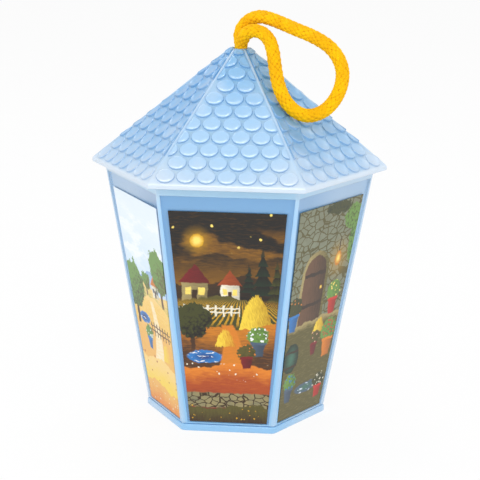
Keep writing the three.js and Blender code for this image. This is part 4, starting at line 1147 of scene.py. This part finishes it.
pictures = {
    "picture_front": [  # a village street at nightfall
        ("sky", "night", "bronze", 52, 84), ("cloud", 66, 92, "bronze", "umber", 0.5),
        ("stars", 78, "glow"), ("halo", -13, 84, 16, "gold", 0.5), ("disc", -13, 84, 6, 6, "glow", "gold"),
        ("hill", 66, 3, 7, 0.6, "umber", "night", 12), ("fir", 15, 60, 9, 22, "pine", "night"),
        ("fir", 21, 57, 8, 19, "moss", "night"), ("fir", 9, 61, 6, 13, "pine", "night"),
        ("cottage", -14, 56, 11, 10, "tan", "wine", "glow", "umber"),
        ("cottage", 1, 57, 8, 8, "cream", "rust", "glow", "bark"),
        ("hill", 57, 2, 9, 2.0, "olive", "moss", 9), ("furrows", 46, 57, 6, "hay", "gold"),
        ("fence", -8, 50, 26, 5, 3.4, "cream"), ("haystack", 12, 44, 15, 16, "straw", "hay"),
        ("hill", 46, 2, 8, 4.4, "amber", "bark", 16), ("path", 0, 46, 2.2, 5, 0.16, "orange", "amber"),
        ("broadTree", -15, 34, 13, "moss", "night", "bark"),
        ("water", -10, 31, 15, 6, "blue", "deepBlue", "white"),
        ("haystack", -1, 36, 9, 8, "straw", "amber"), ("pot", 13, 32, 6, 6, "slate", "leaf", "white"),
        ("hill", 27, 1.5, 6, 1.0, "orange", "rust", 9), ("pot", 8, 26, 5, 5, "wine", "olive", "orange"),
        ("meadow", 20, 28, "cream", 0.4, 0.2), ("hill", 17, 1, 7, 3.0, "rust", "wine", 12),
        ("stones", 0, 7, 60, 7, 0.3, 1.6, "tan", "drab", "umber"),
        ("hill", 7.5, 1, 5, 0.0, "olive", "umber", 9, True), ("meadow", 1, 8, "gold", 0.5, 0.2),
    ],
    "picture_front_left": [  # an orchard lane in the morning
        ("sky", "haze", "sky", 52, 92), ("cloud", 62, 94, "white", "haze", 0.48),
        ("hill", 62, 3, 9, 0.4, "ice", "sky", 14), ("hill", 56, 2, 6, 2.2, "sand", "leaf", 12),
        ("cottage", 9, 53, 7, 6, "cream", "orange", "slate", "bark"),
        ("broadTree", -1, 52, 7, "leaf", "olive", "bark"),
        ("broadTree", 16, 50, 16, "leaf", "olive", "brown"), ("hill", 50, 2, 8, 1.4, "sand", "dune", 20),
        ("furrows", 38, 50, -4, "straw", "dune"), ("path", 2, 50, 3, 3, 0.13, "cream", "sand"),
        ("water", -9, 40, 12, 5, "blue", "deepBlue", "white"),
        ("broadTree", -16, 36, 18, "leaf", "moss", "bark"), ("fence", 8, 34, 22, 6, 3.0, "brown"),
        ("haystack", 12, 24, 9, 9, "straw", "dune"), ("pot", -6, 26, 5, 5, "blue", "leaf", "white"),
        ("hill", 22, 1.5, 6, 0.8, "sand", "straw", 14), ("meadow", 12, 24, "rust", 0.3, 0.2),
        ("hill", 10, 1, 5, 2.5, "dune", "orange", 12), ("meadow", 0, 9, "cream", 0.4, 0.2),
    ],
    "picture_front_right": [  # a walled courtyard with flower pots
        ("sky", "drab", "tan", 40, 100), ("stones", 0, 40, 60, 60, 0.2, 1.7, "drab", "stone", "olive"),
        ("halo", 12, 70, 24, "gold", 0.35), ("arch", -5, 42, 21, 24, "tan", "olive", False),
        ("arch", -5, 42, 17, 24, "brown", "umber"), ("beam", -13, 52, 3, 52, 1.6, "umber", "night"),
        ("beam", -13, 66, 3, 66, 1.6, "umber", "night"), ("disc", 1, 59, 1.6, 1.6, "glow", "gold"),
        ("beam", 12, 80, 12, 72, 0.7, "umber"), ("disc", 12, 70, 5, 6.5, "glow", "amber"),
        ("foliage", 20, 88, 14, 12, "leaf", "moss"), ("foliage", 23, 76, 8, 20, "leaf", "pine"),
        ("foliage", 6, 94, 20, 6, "moss", "pine"),
        ("stones", 0, 0, 60, 42, 0.22, 2.2, "grey", "stone", "slate"),
        ("hill", 44, 0.6, 6, 0.5, "tan", "olive", 4), ("pot", 13, 44, 7, 7, "red", "leaf", "glow"),
        ("pot", -17, 42, 7, 7, "blue", "moss", "orange"), ("haystack", 5, 37, 10, 7, "straw", "hay"),
        ("disc", -14, 29, 11, 14, "teal", "pine"), ("beam", -19, 32, -9, 32, 1.0, "umber"),
        ("beam", -19, 25, -9, 25, 1.0, "umber"), ("pot", 14, 24, 8, 8, "orange", "leaf", "red"),
        ("pot", 3, 27, 5, 5, "wine", "olive", "rose"), ("water", 2, 12, 18, 5, "slate", "teal", "snow"),
        ("pot", -12, 8, 6, 6, "slate", "leaf", "blue"), ("pot", 12, 5, 6, 5, "red", "moss", "cream"),
    ],
    "picture_back_right": [  # vineyards in autumn
        ("sky", "rose", "straw", 50, 92), ("cloud", 66, 94, "cream", "orange", 0.5),
        ("hill", 64, 3, 8, 1.8, "slate", "ice", 12), ("hill", 58, 2, 7, 0.2, "amber", "rust", 12),
        ("cottage", -10, 55, 9, 8, "cream", "red", "slate", "bark"), ("fir", 16, 52, 6, 22, "moss", "pine"),
        ("fir", 11, 53, 5, 17, "moss", "pine"), ("hill", 54, 2, 8, 3.0, "olive", "moss", 10),
        ("furrows", 30, 54, 8, "rust", "wine"), ("broadTree", 12, 38, 13, "orange", "rust", "bark"),
        ("path", -6, 50, 2, 3, 0.14, "sand", "tan"), ("fence", 6, 32, 30, 6, 3.6, "bark"),
        ("hill", 28, 1.5, 7, 1.2, "amber", "brown", 14), ("haystack", -12, 24, 12, 9, "wine", "umber"),
        ("pot", 2, 20, 6, 6, "tan", "leaf", "wine"), ("hill", 14, 1, 6, 2.0, "rust", "umber", 14),
        ("meadow", 2, 13, "gold", 0.35, 0.22),
    ],
    "picture_back": [  # a winter night
        ("sky", "indigo", "deepBlue", 46, 90), ("stars", 60, "cream", 0.2),
        ("cloud", 60, 84, "slate", "indigo", 0.56), ("halo", 12, 82, 22, "ice", 0.5),
        ("disc", 12, 82, 7, 7, "cream", "straw"), ("hill", 64, 4, 8, 0.9, "ice", "slate", 16),
        ("fir", -16, 54, 10, 26, "pine", "night"), ("fir", -8, 56, 7, 18, "pine", "indigo"),
        ("cottage", 10, 54, 12, 9, "brown", "snow", "glow", "wine"),
        ("cottage", -1, 52, 8, 7, "tan", "snow", "glow", "bark"),
        ("hill", 53, 2, 9, 2.6, "snow", "ice", 16), ("path", 4, 50, 2.6, 3, 0.14, "ice", "slate"),
        ("fir", 16, 34, 11, 22, "pine", "night"), ("fence", -8, 32, 24, 6, 3.2, "bark"),
        ("fir", -15, 22, 9, 18, "teal", "pine"), ("hill", 26, 2, 7, 1.0, "snow", "ice", 20),
        ("water", 3, 14, 20, 6, "slate", "deepBlue", "white"), ("hill", 8, 1, 6, 2.0, "snow", "slate", 12),
        ("meadow", 2, 26, "white", 0.3, 0.15),
    ],
    "picture_back_left": [  # a lake at daybreak
        ("sky", "sky", "rose", 46, 90), ("cloud", 60, 92, "cream", "rose", 0.5),
        ("halo", -8, 62, 30, "glow", 0.6), ("disc", -8, 63, 6, 6, "cream", "glow"),
        ("hill", 62, 5, 8, 2.6, "slate", "ice", 18), ("hill", 54, 2, 6, 0.8, "teal", "moss", 10),
        ("cottage", 12, 50, 8, 7, "cream", "rust", "slate", "bark"),
        ("water", 0, 34, 70, 36, "ice", "slate", "white"),
        ("broadTree", 16, 44, 12, "leaf", "moss", "bark"), ("beam", -12, 33, 2, 33, 2.2, "wine", "umber"),
        ("beam", -5, 34, -5, 48, 0.7, "bark"), ("fence", -14, 20, 16, 6, 2.6, "brown"),
        ("hill", 20, 2, 7, 3.6, "leaf", "olive", 12, True), ("pot", 12, 16, 6, 6, "rust", "moss", "rose"),
        ("hill", 10, 1, 5, 1.2, "sand", "tan", 12),
        ("stones", 0, 0, 60, 5, 0.3, 1.6, "tan", "grey", "umber"), ("meadow", 8, 22, "rose", 0.35, 0.2),
    ],
}


def makePictures():
    sides = ["front", "front_right", "back_right", "back", "back_left", "front_left"]
    for side, where in enumerate(sides):
        node = "picture_" + where
        art = Painting("print" + where.title().replace("_", ""), side)
        for layer in pictures[node]:
            sizes = [ink[v] if isinstance(v, str) else v for v in layer[1:]]
            getattr(art, layer[0])(*sizes)
        dress(node, art.printed())
    print("pictures: %d" % len(sides))


makePictures()


def easedBlock(low, high, edge, along=1):  # a block with its edges cut back
    a, b = [k for k in range(3) if k != along]
    rings = []
    for place, inset in (
        (low[along], edge), (low[along] + edge, 0), (high[along] - edge, 0), (high[along], edge),
    ):
        a0, a1, b0, b1 = low[a] + inset, high[a] - inset, low[b] + inset, high[b] - inset
        ring = []
        for p, q in (
            (a0 + edge, b0), (a1 - edge, b0), (a1, b0 + edge), (a1, b1 - edge),
            (a1 - edge, b1), (a0 + edge, b1), (a0, b1 - edge), (a0, b0 + edge),
        ):
            point = Vector((0, 0, 0))
            point[a], point[b], point[along] = p, q, place
            ring.append(point)
        rings.append(ring)
    return skin(rings)


def turnedShape(profile, around, place=Matrix()):  # radius and height, from pole to pole
    points, faces, rings = [], [], []
    for radius, height in profile:
        start = len(points)
        if radius == 0:
            points.append(Vector((0, 0, height)))
            rings.append([start] * around)
        else:
            for j in range(around):
                a = math.tau * j / around
                points.append(Vector((math.cos(a) * radius, math.sin(a) * radius, height)))
            rings.append(list(range(start, start + around)))
    for low, high in zip(rings, rings[1:]):
        for j in range(around):
            n = (j + 1) % around
            faces.append(tuple(dict.fromkeys((low[j], low[n], high[n], high[j]))))
    return [place @ p for p in points], faces


def tubeShape(points, radiusAt, sides, step=0.35):
    line, total = smoothLine(points, step)
    turns = [math.tau * j / sides for j in range(sides)]
    rings = []
    for i, (centre, side, other) in enumerate(framed(line)):
        radius = radiusAt(total * i / (len(line) - 1), total) if callable(radiusAt) else radiusAt
        rings.append([centre + (side * math.cos(a) + other * math.sin(a)) * radius for a in turns])
    return skin(rings)


def piece(name, shape, finish, stands, slot, angle=35):
    settle(addObject(name, closedMesh(name, shape, angle)), [finish], "base", stands, slot)


# The light unit on the base, seen when the shell is lifted (mm)
unitSizes = {
    "flameFoot": 29.3, "flameHeight": 18.0, "flameFootRadius": 4.8, "flameBore": 3.0, "flameBoreTop": 38.3,
    "flameBelly": (9.0, 35.6), "flameNeck": (2.4, 41.9),
    "ledFoot": 23.5, "ledHeight": 8.6, "ledRadius": 2.5, "ledFlange": 2.9,
    "legHeight": 17.2, "legSpacing": 2.54, "legRadius": 0.25,
    "cellX": (-8.8, 2.8), "cellZ": 9.45, "cellLength": 44.5, "cellRadius": 5.1, "cellEnd": 24.9,
    "contactY": 25.45, "contactFoot": 3.9, "contactHead": 14.7, "contactHalf": 0.25,
    "tabHead": 18.7, "tabHalf": 1.5,
    "bridgeX": (-13.55, 7.55), "negativeX": (-13.55, -3.5), "positiveX": (-2.5, 7.55),
    "springTurns": 4, "springRadius": 3.9, "springTaper": 1.3, "springReach": 5.0, "springWire": 0.3,
    "boardLow": (16.0, -18.0, 4.8), "boardHigh": (17.6, 18.0, 18.2),
    "boardMiddle": (16.8, 11.5), "boardRim": (17.9, 6.62), "trackHalf": 0.35,  # x and z, half of y and z
    "resistorX": 19.05, "resistorY": 11.0, "resistorZ": 13.73, "resistorLength": 6.4,
    "screwX": (-16.75, 10.75, -25.6, 28.4),
}
sleeveSizes = {  # mm from the battery's end or its axis; pairs are where a mark begins and where it is full
    "edge": (4.5, 4.58), "band": (30.6, 30.7), "stripe": (29.4, 29.5), "stripeEnd": (30.7, 30.6),
    "middle": 21.7, "worn": (20.9, 21.6),
}
wireSizes = {  # mm
    "startY": -24.9, "startZ": 18.1, "endX": 15.7, "endZ": 17.3, "straight": 3,
    "bare": 0.3, "bareLength": 1.3, "coverFoot": 0.42, "cover": 0.6, "coverRise": 0.9,
    "bareY": (-23.55, -23.6), "bareX": (14.3, 14.35),
}


def plated(name, marks=False):  # nickel-plated steel
    f = Finish(name)
    grain = f.noise(700, 4)
    colour = f.mix(grain, tint(166, 168, 172), tint(204, 205, 206))
    if marks:  # turning marks round every screw's axis
        x, y, z = f.axes()
        reach = f.calc("SQRT", f.least(*((x - c) * (x - c) for c in unitSizes["screwX"])) + y * y)
        rings = f.calc("SINE", reach * 22)
        # painted shade in the recess at the middle of each head
        slot = f.ramp(z, 1.12, 1.06) * f.ramp(reach, 1.5, 1.4)
        height = rings * 0.3 + grain
        colour = f.mix(slot * f.ramp(z, 0.95, 1.05), colour, tint(96, 98, 102))
    else:
        height = grain
    return f.done(f.surface(
        Base_Color=colour, Metallic=1.0, Roughness=f.noise(220) * 0.22 + 0.2,
        Normal=f.bump(height, 0.2, 0.00006),
    ))


def coverPlastic():  # matt white with a fine spark-eroded grain
    f = Finish("coverPlastic")
    z = f.axes()[2]
    colour = f.mix(f.noise(50), tint(232, 232, 226), tint(240, 240, 235))
    return f.done(f.surface(
        Base_Color=f.mix(f.ramp(z, 24.6, 29) * 0.5, colour, tint(250, 244, 226)),
        Roughness=f.noise(1500) * 0.16 + 0.46, Normal=f.bump(f.cells(2600), 0.3, 0.00008),
    ))


def flameWax():
    f = Finish("flameMilky")
    z = f.axes()[2] + f.noise(90) * 3
    colour = f.mix(f.ramp(z, 31, 47), tint(255, 243, 214), tint(255, 224, 160))
    body = f.surface(
        Base_Color=colour, Roughness=f.noise(600) * 0.12 + 0.26, Coat_Weight=0.4, Coat_Roughness=0.1,
        Normal=f.bump(f.noise(420), 0.12, 0.0003),
    )
    through = f.node("ShaderNodeBsdfTranslucent", inputs={"Color": tint(255, 232, 184)})
    return f.done(f.blend(0.4, body, through))


def makeFlame():
    u = unitSizes
    foot, height, bore, top = u["flameFoot"], u["flameHeight"], u["flameBore"], u["flameBoreTop"]
    corners = [
        Vector((u["flameFootRadius"], foot)), Vector(u["flameBelly"]), Vector(u["flameNeck"]),
        Vector((0, foot + height)),
    ]
    outside, steps = [], 24
    for i in range(1, steps + 1):  # a curve that the four corners lead
        t = i / steps
        weights = ((1 - t) ** 3, 3 * t * (1 - t) ** 2, 3 * t * t * (1 - t), t ** 3)
        p = sum((c * w for c, w in zip(corners, weights)), Vector((0, 0)))
        outside.append((p.x if i < steps else 0, p.y))
    profile = [
        (0, top), (bore * 0.35, top - 0.7), (bore * 0.6, top - 2.2), (bore * 0.9, top - 4.6), (bore, top - 6),
        (bore, foot + 0.2), (bore + 0.2, foot), (u["flameFootRadius"] - 0.3, foot),
        (u["flameFootRadius"], foot + 0.2), *outside,
    ]
    piece("flameDiffuser", turnedShape(profile, 48), flameWax(), ["flame_diffuser"], "diffuser", 50)


def makeLed():
    u = unitSizes
    f = Finish("ledWarmLens")
    z = f.axes()[2]
    lens = f.surface(
        Base_Color=f.mix(f.ramp(z + f.noise(500), 24, 31), tint(255, 222, 140), tint(255, 244, 214)),
        Roughness=f.noise(900) * 0.06 + 0.05, Transmission_Weight=0.45, Coat_Weight=0.6,
        Normal=f.bump(f.noise(300), 0.05, 0.0002),
    )
    legs = f.surface(
        Base_Color=f.mix(f.noise(800), tint(176, 177, 180), tint(208, 208, 206)), Metallic=1.0,
        Roughness=f.noise(400) * 0.2 + 0.2, Normal=f.bump(f.noise(900), 0.15, 0.00005),
    )
    finish = f.done(f.blend(f.ramp(z, u["ledFoot"] - 0.04, u["ledFoot"]), legs, lens))
    foot, radius, flange = u["ledFoot"], u["ledRadius"], u["ledFlange"]
    dome = foot + u["ledHeight"] - radius
    profile = [
        (0, foot), (flange - 0.15, foot), (flange, foot + 0.15), (flange, foot + 0.88),
        (flange - 0.12, foot + 1), (radius, foot + 1),
    ]
    rises = [math.pi / 2 * i / 9 for i in range(9)]
    profile += [(radius * math.cos(a), dome + radius * math.sin(a)) for a in rises]
    parts = [turnedShape(profile + [(0, dome + radius)], 36)]
    for side in (-0.5, 0.5):
        y, z = side * u["legSpacing"], u["legHeight"]
        down = [(0, foot + 0.3), (0, 20), (0, z + 1.4), (0.5, z + 0.35), (1.6, z), (8, z), (15.7, z)]
        parts.append(tubeShape([(x, y, height) for x, height in down], u["legRadius"], 8))
    piece("ledLamp", joined(parts), finish, ["led"], "led_lens", 50)


def batterySleeve(name, centreX, direction):
    f = Finish(name)
    x, y, z = f.axes()
    s = sleeveSizes
    along = y * direction + (unitSizes["cellLength"] - unitSizes["cellEnd"])
    sleeve = f.ramp(f.length(x - centreX, z - unitSizes["cellZ"]), *s["edge"])
    green = f.mix(f.noise(60), tint(52, 116, 66), tint(68, 134, 80))
    band = f.mix(f.ramp(along, *s["band"]), green, tint(38, 44, 42))
    stripe = f.ramp(along, *s["stripe"]) * f.ramp(along, *s["stripeEnd"])
    printed = f.mix(stripe, band, tint(206, 196, 150))
    worn = f.ramp(f.noise(1400, 4), 0.66, 0.72) * f.ramp(abs(along - s["middle"]), *s["worn"])
    steel = f.mix(f.noise(500), tint(170, 172, 174), tint(202, 202, 202))
    return f.done(f.surface(
        Base_Color=f.mix(sleeve * (1 - worn * 0.7), steel, printed), Metallic=1 - sleeve,
        Roughness=f.noise(300) * 0.14 + 0.22, Coat_Weight=sleeve * 0.5,
        Normal=f.bump(f.noise(700), 0.08, 0.00008),
    ))


def makeBatteries():
    u = unitSizes
    radius, length = u["cellRadius"], u["cellLength"]
    profile = [
        (0, 0.02), (3.8, 0.02), (4.0, 0.2), (4.5, 0.2), (4.62, 0.02), (4.92, 0.05), (radius, 0.3),
        (radius, 43.1), (4.95, 43.38), (4.65, 43.5), (4.4, 43.42), (4.1, 43.2), (2.4, 43.2), (2.1, 43.35),
        (1.92, 43.6), (1.9, 44.1), (1.78, 44.38), (1.5, length - 0.02), (0, length),
    ]
    for i, direction in enumerate((1, -1)):
        turn = Matrix.Rotation(-math.pi / 2 * direction, 4, "X")
        place = Matrix.Translation((u["cellX"][i], direction * (u["cellEnd"] - length), u["cellZ"])) @ turn
        name = ("batteryLeft", "batteryRight")[i]
        finish = batterySleeve(name + "Sleeve", u["cellX"][i], direction)
        piece(name, turnedShape(profile, 48, place), finish, ["battery_%d" % (i + 1)], "battery_sleeve")


def makeContacts():
    u = unitSizes
    steel = plated("contactSteel")
    left, right = u["cellX"]
    contactY, low, high = u["contactY"], u["contactFoot"], u["contactHead"]

    def plate(x0, x1, side, top=high):
        y, half = side * contactY, u["contactHalf"]
        return easedBlock((x0, y - half, low), (x1, y + half, top), 0.12)

    def spring(x, side):
        route = []
        for i in range(u["springTurns"] * 12 + 1):
            share = i / (u["springTurns"] * 12)
            a, r = math.tau * u["springTurns"] * share, u["springRadius"] - u["springTaper"] * share
            y = side * (contactY - u["springReach"] * share)
            route.append((x + r * math.cos(a), y, u["cellZ"] + r * math.sin(a)))
        return tubeShape(route, u["springWire"], 10, 0.7)

    def dimple(x, side):  # pressed out of the plate towards the battery's nub
        turn = Matrix.Rotation(math.pi / 2 * side, 4, "X")
        place = Matrix.Translation((x, side * (contactY - 0.2), u["cellZ"])) @ turn
        profile = [(0, -0.1), (1.9, -0.1), (1.8, 0.1), (1.3, 0.22), (0.7, 0.27), (0, 0.28)]
        return turnedShape(profile, 24, place)

    def tab(x):  # stands above the plate, for the wire
        return plate(x - u["tabHalf"], x + u["tabHalf"], -1, u["tabHead"])

    for name, parts in (
        ("Bridge", [plate(*u["bridgeX"], 1), spring(right, 1), dimple(left, 1)]),
        ("Negative", [plate(*u["negativeX"], -1), tab(left), spring(left, -1)]),
        ("Positive", [plate(*u["positiveX"], -1), tab(right), dimple(right, -1)]),
    ):
        piece("contact" + name, joined(parts), steel, ["contact_" + name.lower()], "steel")


boardPads = [  # y and z of the soldered joints, mm
    (-1.27, 17.2), (1.27, 17.2), (-4.94, 17.2), (-7.34, 17.2), (6.4, 13.73), (15.6, 13.73),
    (-3, 9.6), (0, 9.6), (3, 9.6),
]
boardTracks = [  # y0, z0, y1, z1, mm
    (-1.27, 17.2, -1.27, 15.4), (-1.27, 15.4, -4.94, 15.4), (-4.94, 15.4, -4.94, 17.2),
    (1.27, 17.2, 1.27, 13.73), (1.27, 13.73, 6.4, 13.73), (15.6, 13.73, 15.6, 11.6), (0, 11.6, 15.6, 11.6),
    (0, 11.6, 0, 9.6), (-7.34, 17.2, -7.34, 9.6), (-7.34, 9.6, -3, 9.6),
]


def boardFinish():
    f = Finish("boardMask")
    x, y, z = f.axes()
    mask = f.mix(f.noise(80), tint(40, 112, 62), tint(52, 132, 76))
    middleX, middleZ = unitSizes["boardMiddle"]
    halfY, halfZ = unitSizes["boardRim"]
    half = unitSizes["trackHalf"]
    tracks = []
    for y0, z0, y1, z1 in boardTracks:
        tracks.append(f.most(*(
            abs(axis - (a + b) / 2) - (abs(b - a) / 2 + half) for axis, a, b in ((y, y0, y1), (z, z0, z1))
        )))
    track = f.ramp(f.least(*tracks), 0.04, -0.04)
    depth = abs(x - middleX)
    rim = f.most(abs(y) - halfY, abs(z - middleZ) - halfZ)
    edge = f.ramp(rim, -0.03, 0.03)
    weave = f.mix(f.noise(2400), tint(176, 164, 104), tint(206, 196, 140))
    solder = f.ramp(depth, 0.81, 0.84)
    plain = f.mix(edge, f.mix(track, mask, tint(74, 158, 92)), weave)
    return f.done(f.surface(
        Base_Color=f.mix(solder, plain, tint(196, 198, 200)), Metallic=solder,
        Roughness=f.noise(500) * 0.14 + 0.24 + edge * 0.3,
        Normal=f.bump(track + f.noise(900) * 0.2, 0.25, 0.00004),
    ))


def makeBoard():
    u = unitSizes
    parts = [easedBlock(u["boardLow"], u["boardHigh"], 0.1, 0)]
    dome = [(0, -0.1), (0.85, -0.1), (0.82, 0.06), (0.66, 0.2), (0.42, 0.4), (0.3, 0.52), (0, 0.56)]
    for y, z in boardPads:
        for x, turn in ((u["boardLow"][0], -1), (u["boardHigh"][0], 1)):
            if turn > 0 and z < 10:
                continue  # the switch sits there
            place = Matrix.Translation((x, y, z)) @ Matrix.Rotation(math.pi / 2 * turn, 4, "Y")
            parts.append(turnedShape([(r, min(h, 0.28) if turn < 0 else h) for r, h in dome], 18, place))
    piece("circuitBoard", joined(parts), boardFinish(), ["circuit_board"], "board")


def makeResistor():
    u = unitSizes
    centre = Vector((u["resistorX"], u["resistorY"], u["resistorZ"]))
    half = u["resistorLength"] / 2
    place = Matrix.Translation(centre) @ Matrix.Rotation(math.pi / 2, 4, "X")
    side = [(1.1, 2.55), (1.1, 2.1), (0.94, 1.5), (0.88, 0.5)]
    body = [(0, half), (0.6, half - 0.03), (0.95, half - 0.3)] + side
    body += [(r, -h) for r, h in reversed(body)]
    parts = [turnedShape(body, 28, place)]
    for end in (-1, 1):  # its leads, bent to the board
        bend = ((0, 3.0), (0, 3.9), (-0.12, 4.35), (-0.5, 4.58), (-1.5, 4.6))
        route = [centre + Vector((x, end * y, 0)) for x, y in bend]
        parts.append(tubeShape(route, 0.28, 10, 0.15))
    f = Finish("resistorLacquer")
    x, y = f.axes()[:2]
    along = y - u["resistorY"]
    colour = f.mix(f.noise(400), tint(214, 192, 148), tint(226, 206, 164))
    for at, width, shade in (
        (-2.2, 0.3, tint(120, 66, 30)), (-1.1, 0.22, tint(26, 24, 24)), (-0.2, 0.22, tint(188, 44, 30)),
        (2.2, 0.28, tint(196, 158, 66)),
    ):
        colour = f.mix(f.ramp(abs(along - at), width + 0.03, width - 0.03), colour, shade)
    lead = f.most(f.ramp(abs(along), half - 0.05, half - 0.02), f.ramp(x, 17.94, 17.9))
    finish = f.done(f.surface(
        Base_Color=f.mix(lead, colour, tint(196, 197, 198)), Metallic=lead,
        Roughness=f.noise(500) * 0.14 + 0.26, Coat_Weight=(1 - lead) * 0.5,
        Normal=f.bump(f.noise(800), 0.12, 0.00006),
    ))
    piece("resistorBody", joined(parts), finish, ["resistor"], "resistor_body", 50)


def makeWires():
    u, w = unitSizes, wireSizes
    startY, startZ, endX, endZ, straight = (w[k] for k in ("startY", "startZ", "endX", "endZ", "straight"))

    def radiusAt(s, total):
        near = min(s, total - s)
        if near < w["bareLength"]:
            return w["bare"]
        return min(w["cover"], w["coverFoot"] + (near - w["bareLength"]) * w["coverRise"])

    for name, node, x, endY, dark, light in (
        ("wireBlack", "wire_black", u["cellX"][0], -4.94, tint(26, 26, 28), tint(40, 40, 43)),
        ("wireRed", "wire_red", u["cellX"][1], -7.34, tint(176, 34, 28), tint(204, 48, 38)),
    ):
        f = Finish(name + "Cover")
        px, py = f.axes()[:2]
        bare = f.most(f.ramp(py, *w["bareY"]), f.ramp(px, *w["bareX"]))
        finish = f.done(f.surface(
            Base_Color=f.mix(bare, f.mix(f.noise(250), dark, light), tint(206, 176, 136)), Metallic=bare,
            Roughness=f.noise(600) * 0.14 + 0.34, Normal=f.bump(f.noise(900), 0.15, 0.00006),
        ))
        route = [
            (x, startY, startZ), (x, startY + straight, startZ),
            ((x + endX) / 2, (startY + endY) / 2, startZ),
            (endX - straight, endY, endZ), (endX, endY, endZ),
        ]
        piece(name, tubeShape(route, radiusAt, 14, 0.12), finish, [node], node, 50)


def switchFinish():  # a folded steel can over a dark base
    f = Finish("switchCan")
    z = f.axes()[2]
    base = f.ramp(z, 5.05, 5.0)
    # painted shade along the fold above the base
    foldShade = f.ramp(abs(z - 5.1), 0.12, 0.04)
    steel = f.mix(f.noise(600, 4), tint(160, 162, 166), tint(198, 199, 200))
    colour = f.mix(base, f.mix(foldShade * 0.7, steel, tint(70, 71, 74)), tint(42, 40, 38))
    return f.done(f.surface(
        Base_Color=colour, Metallic=1 - base, Roughness=f.noise(300) * 0.2 + 0.26 + base * 0.2,
        Normal=f.bump(f.noise(1000) - foldShade, 0.25, 0.00008),
    ))


def knobPlastic():
    f = Finish("switchKnobPlastic")
    y = f.axes()[1]
    ribs = f.calc("SINE", y * 9)
    return f.done(f.surface(
        Base_Color=f.mix(f.noise(300), tint(32, 35, 40), tint(46, 49, 54)),
        Roughness=f.noise(900) * 0.16 + 0.42,
        Normal=f.bump(ribs * 0.4 + f.noise(1600) * 0.4, 0.35, 0.00012),
    ))


easedCopy("lamp_cover", "lampCover", 0.3, coverPlastic(), "base", "lamp_plastic")
makeFlame()
makeLed()
makeBatteries()
makeContacts()
makeBoard()
makeResistor()
makeWires()
easedCopy("switch_body", "switchBody", 0.15, switchFinish(), "base", "steel")
easedCopy("switch_slider", "switchKnob", 0.12, knobPlastic(), "switch", "black_plastic")
screwSteel = plated("screwSteel", marks=True)
for node, name, body in (
    ("battery_door_screw_1", "doorScrewLeft", "door"), ("battery_door_screw_2", "doorScrewRight", "door"),
    ("cover_screw_1", "coverScrewLeft", "base"), ("cover_screw_2", "coverScrewRight", "base"),
):
    easedCopy(node, name, 0.08, screwSteel, body, "steel", 1)
print("light unit: batteries, board, switch, cover and flame")
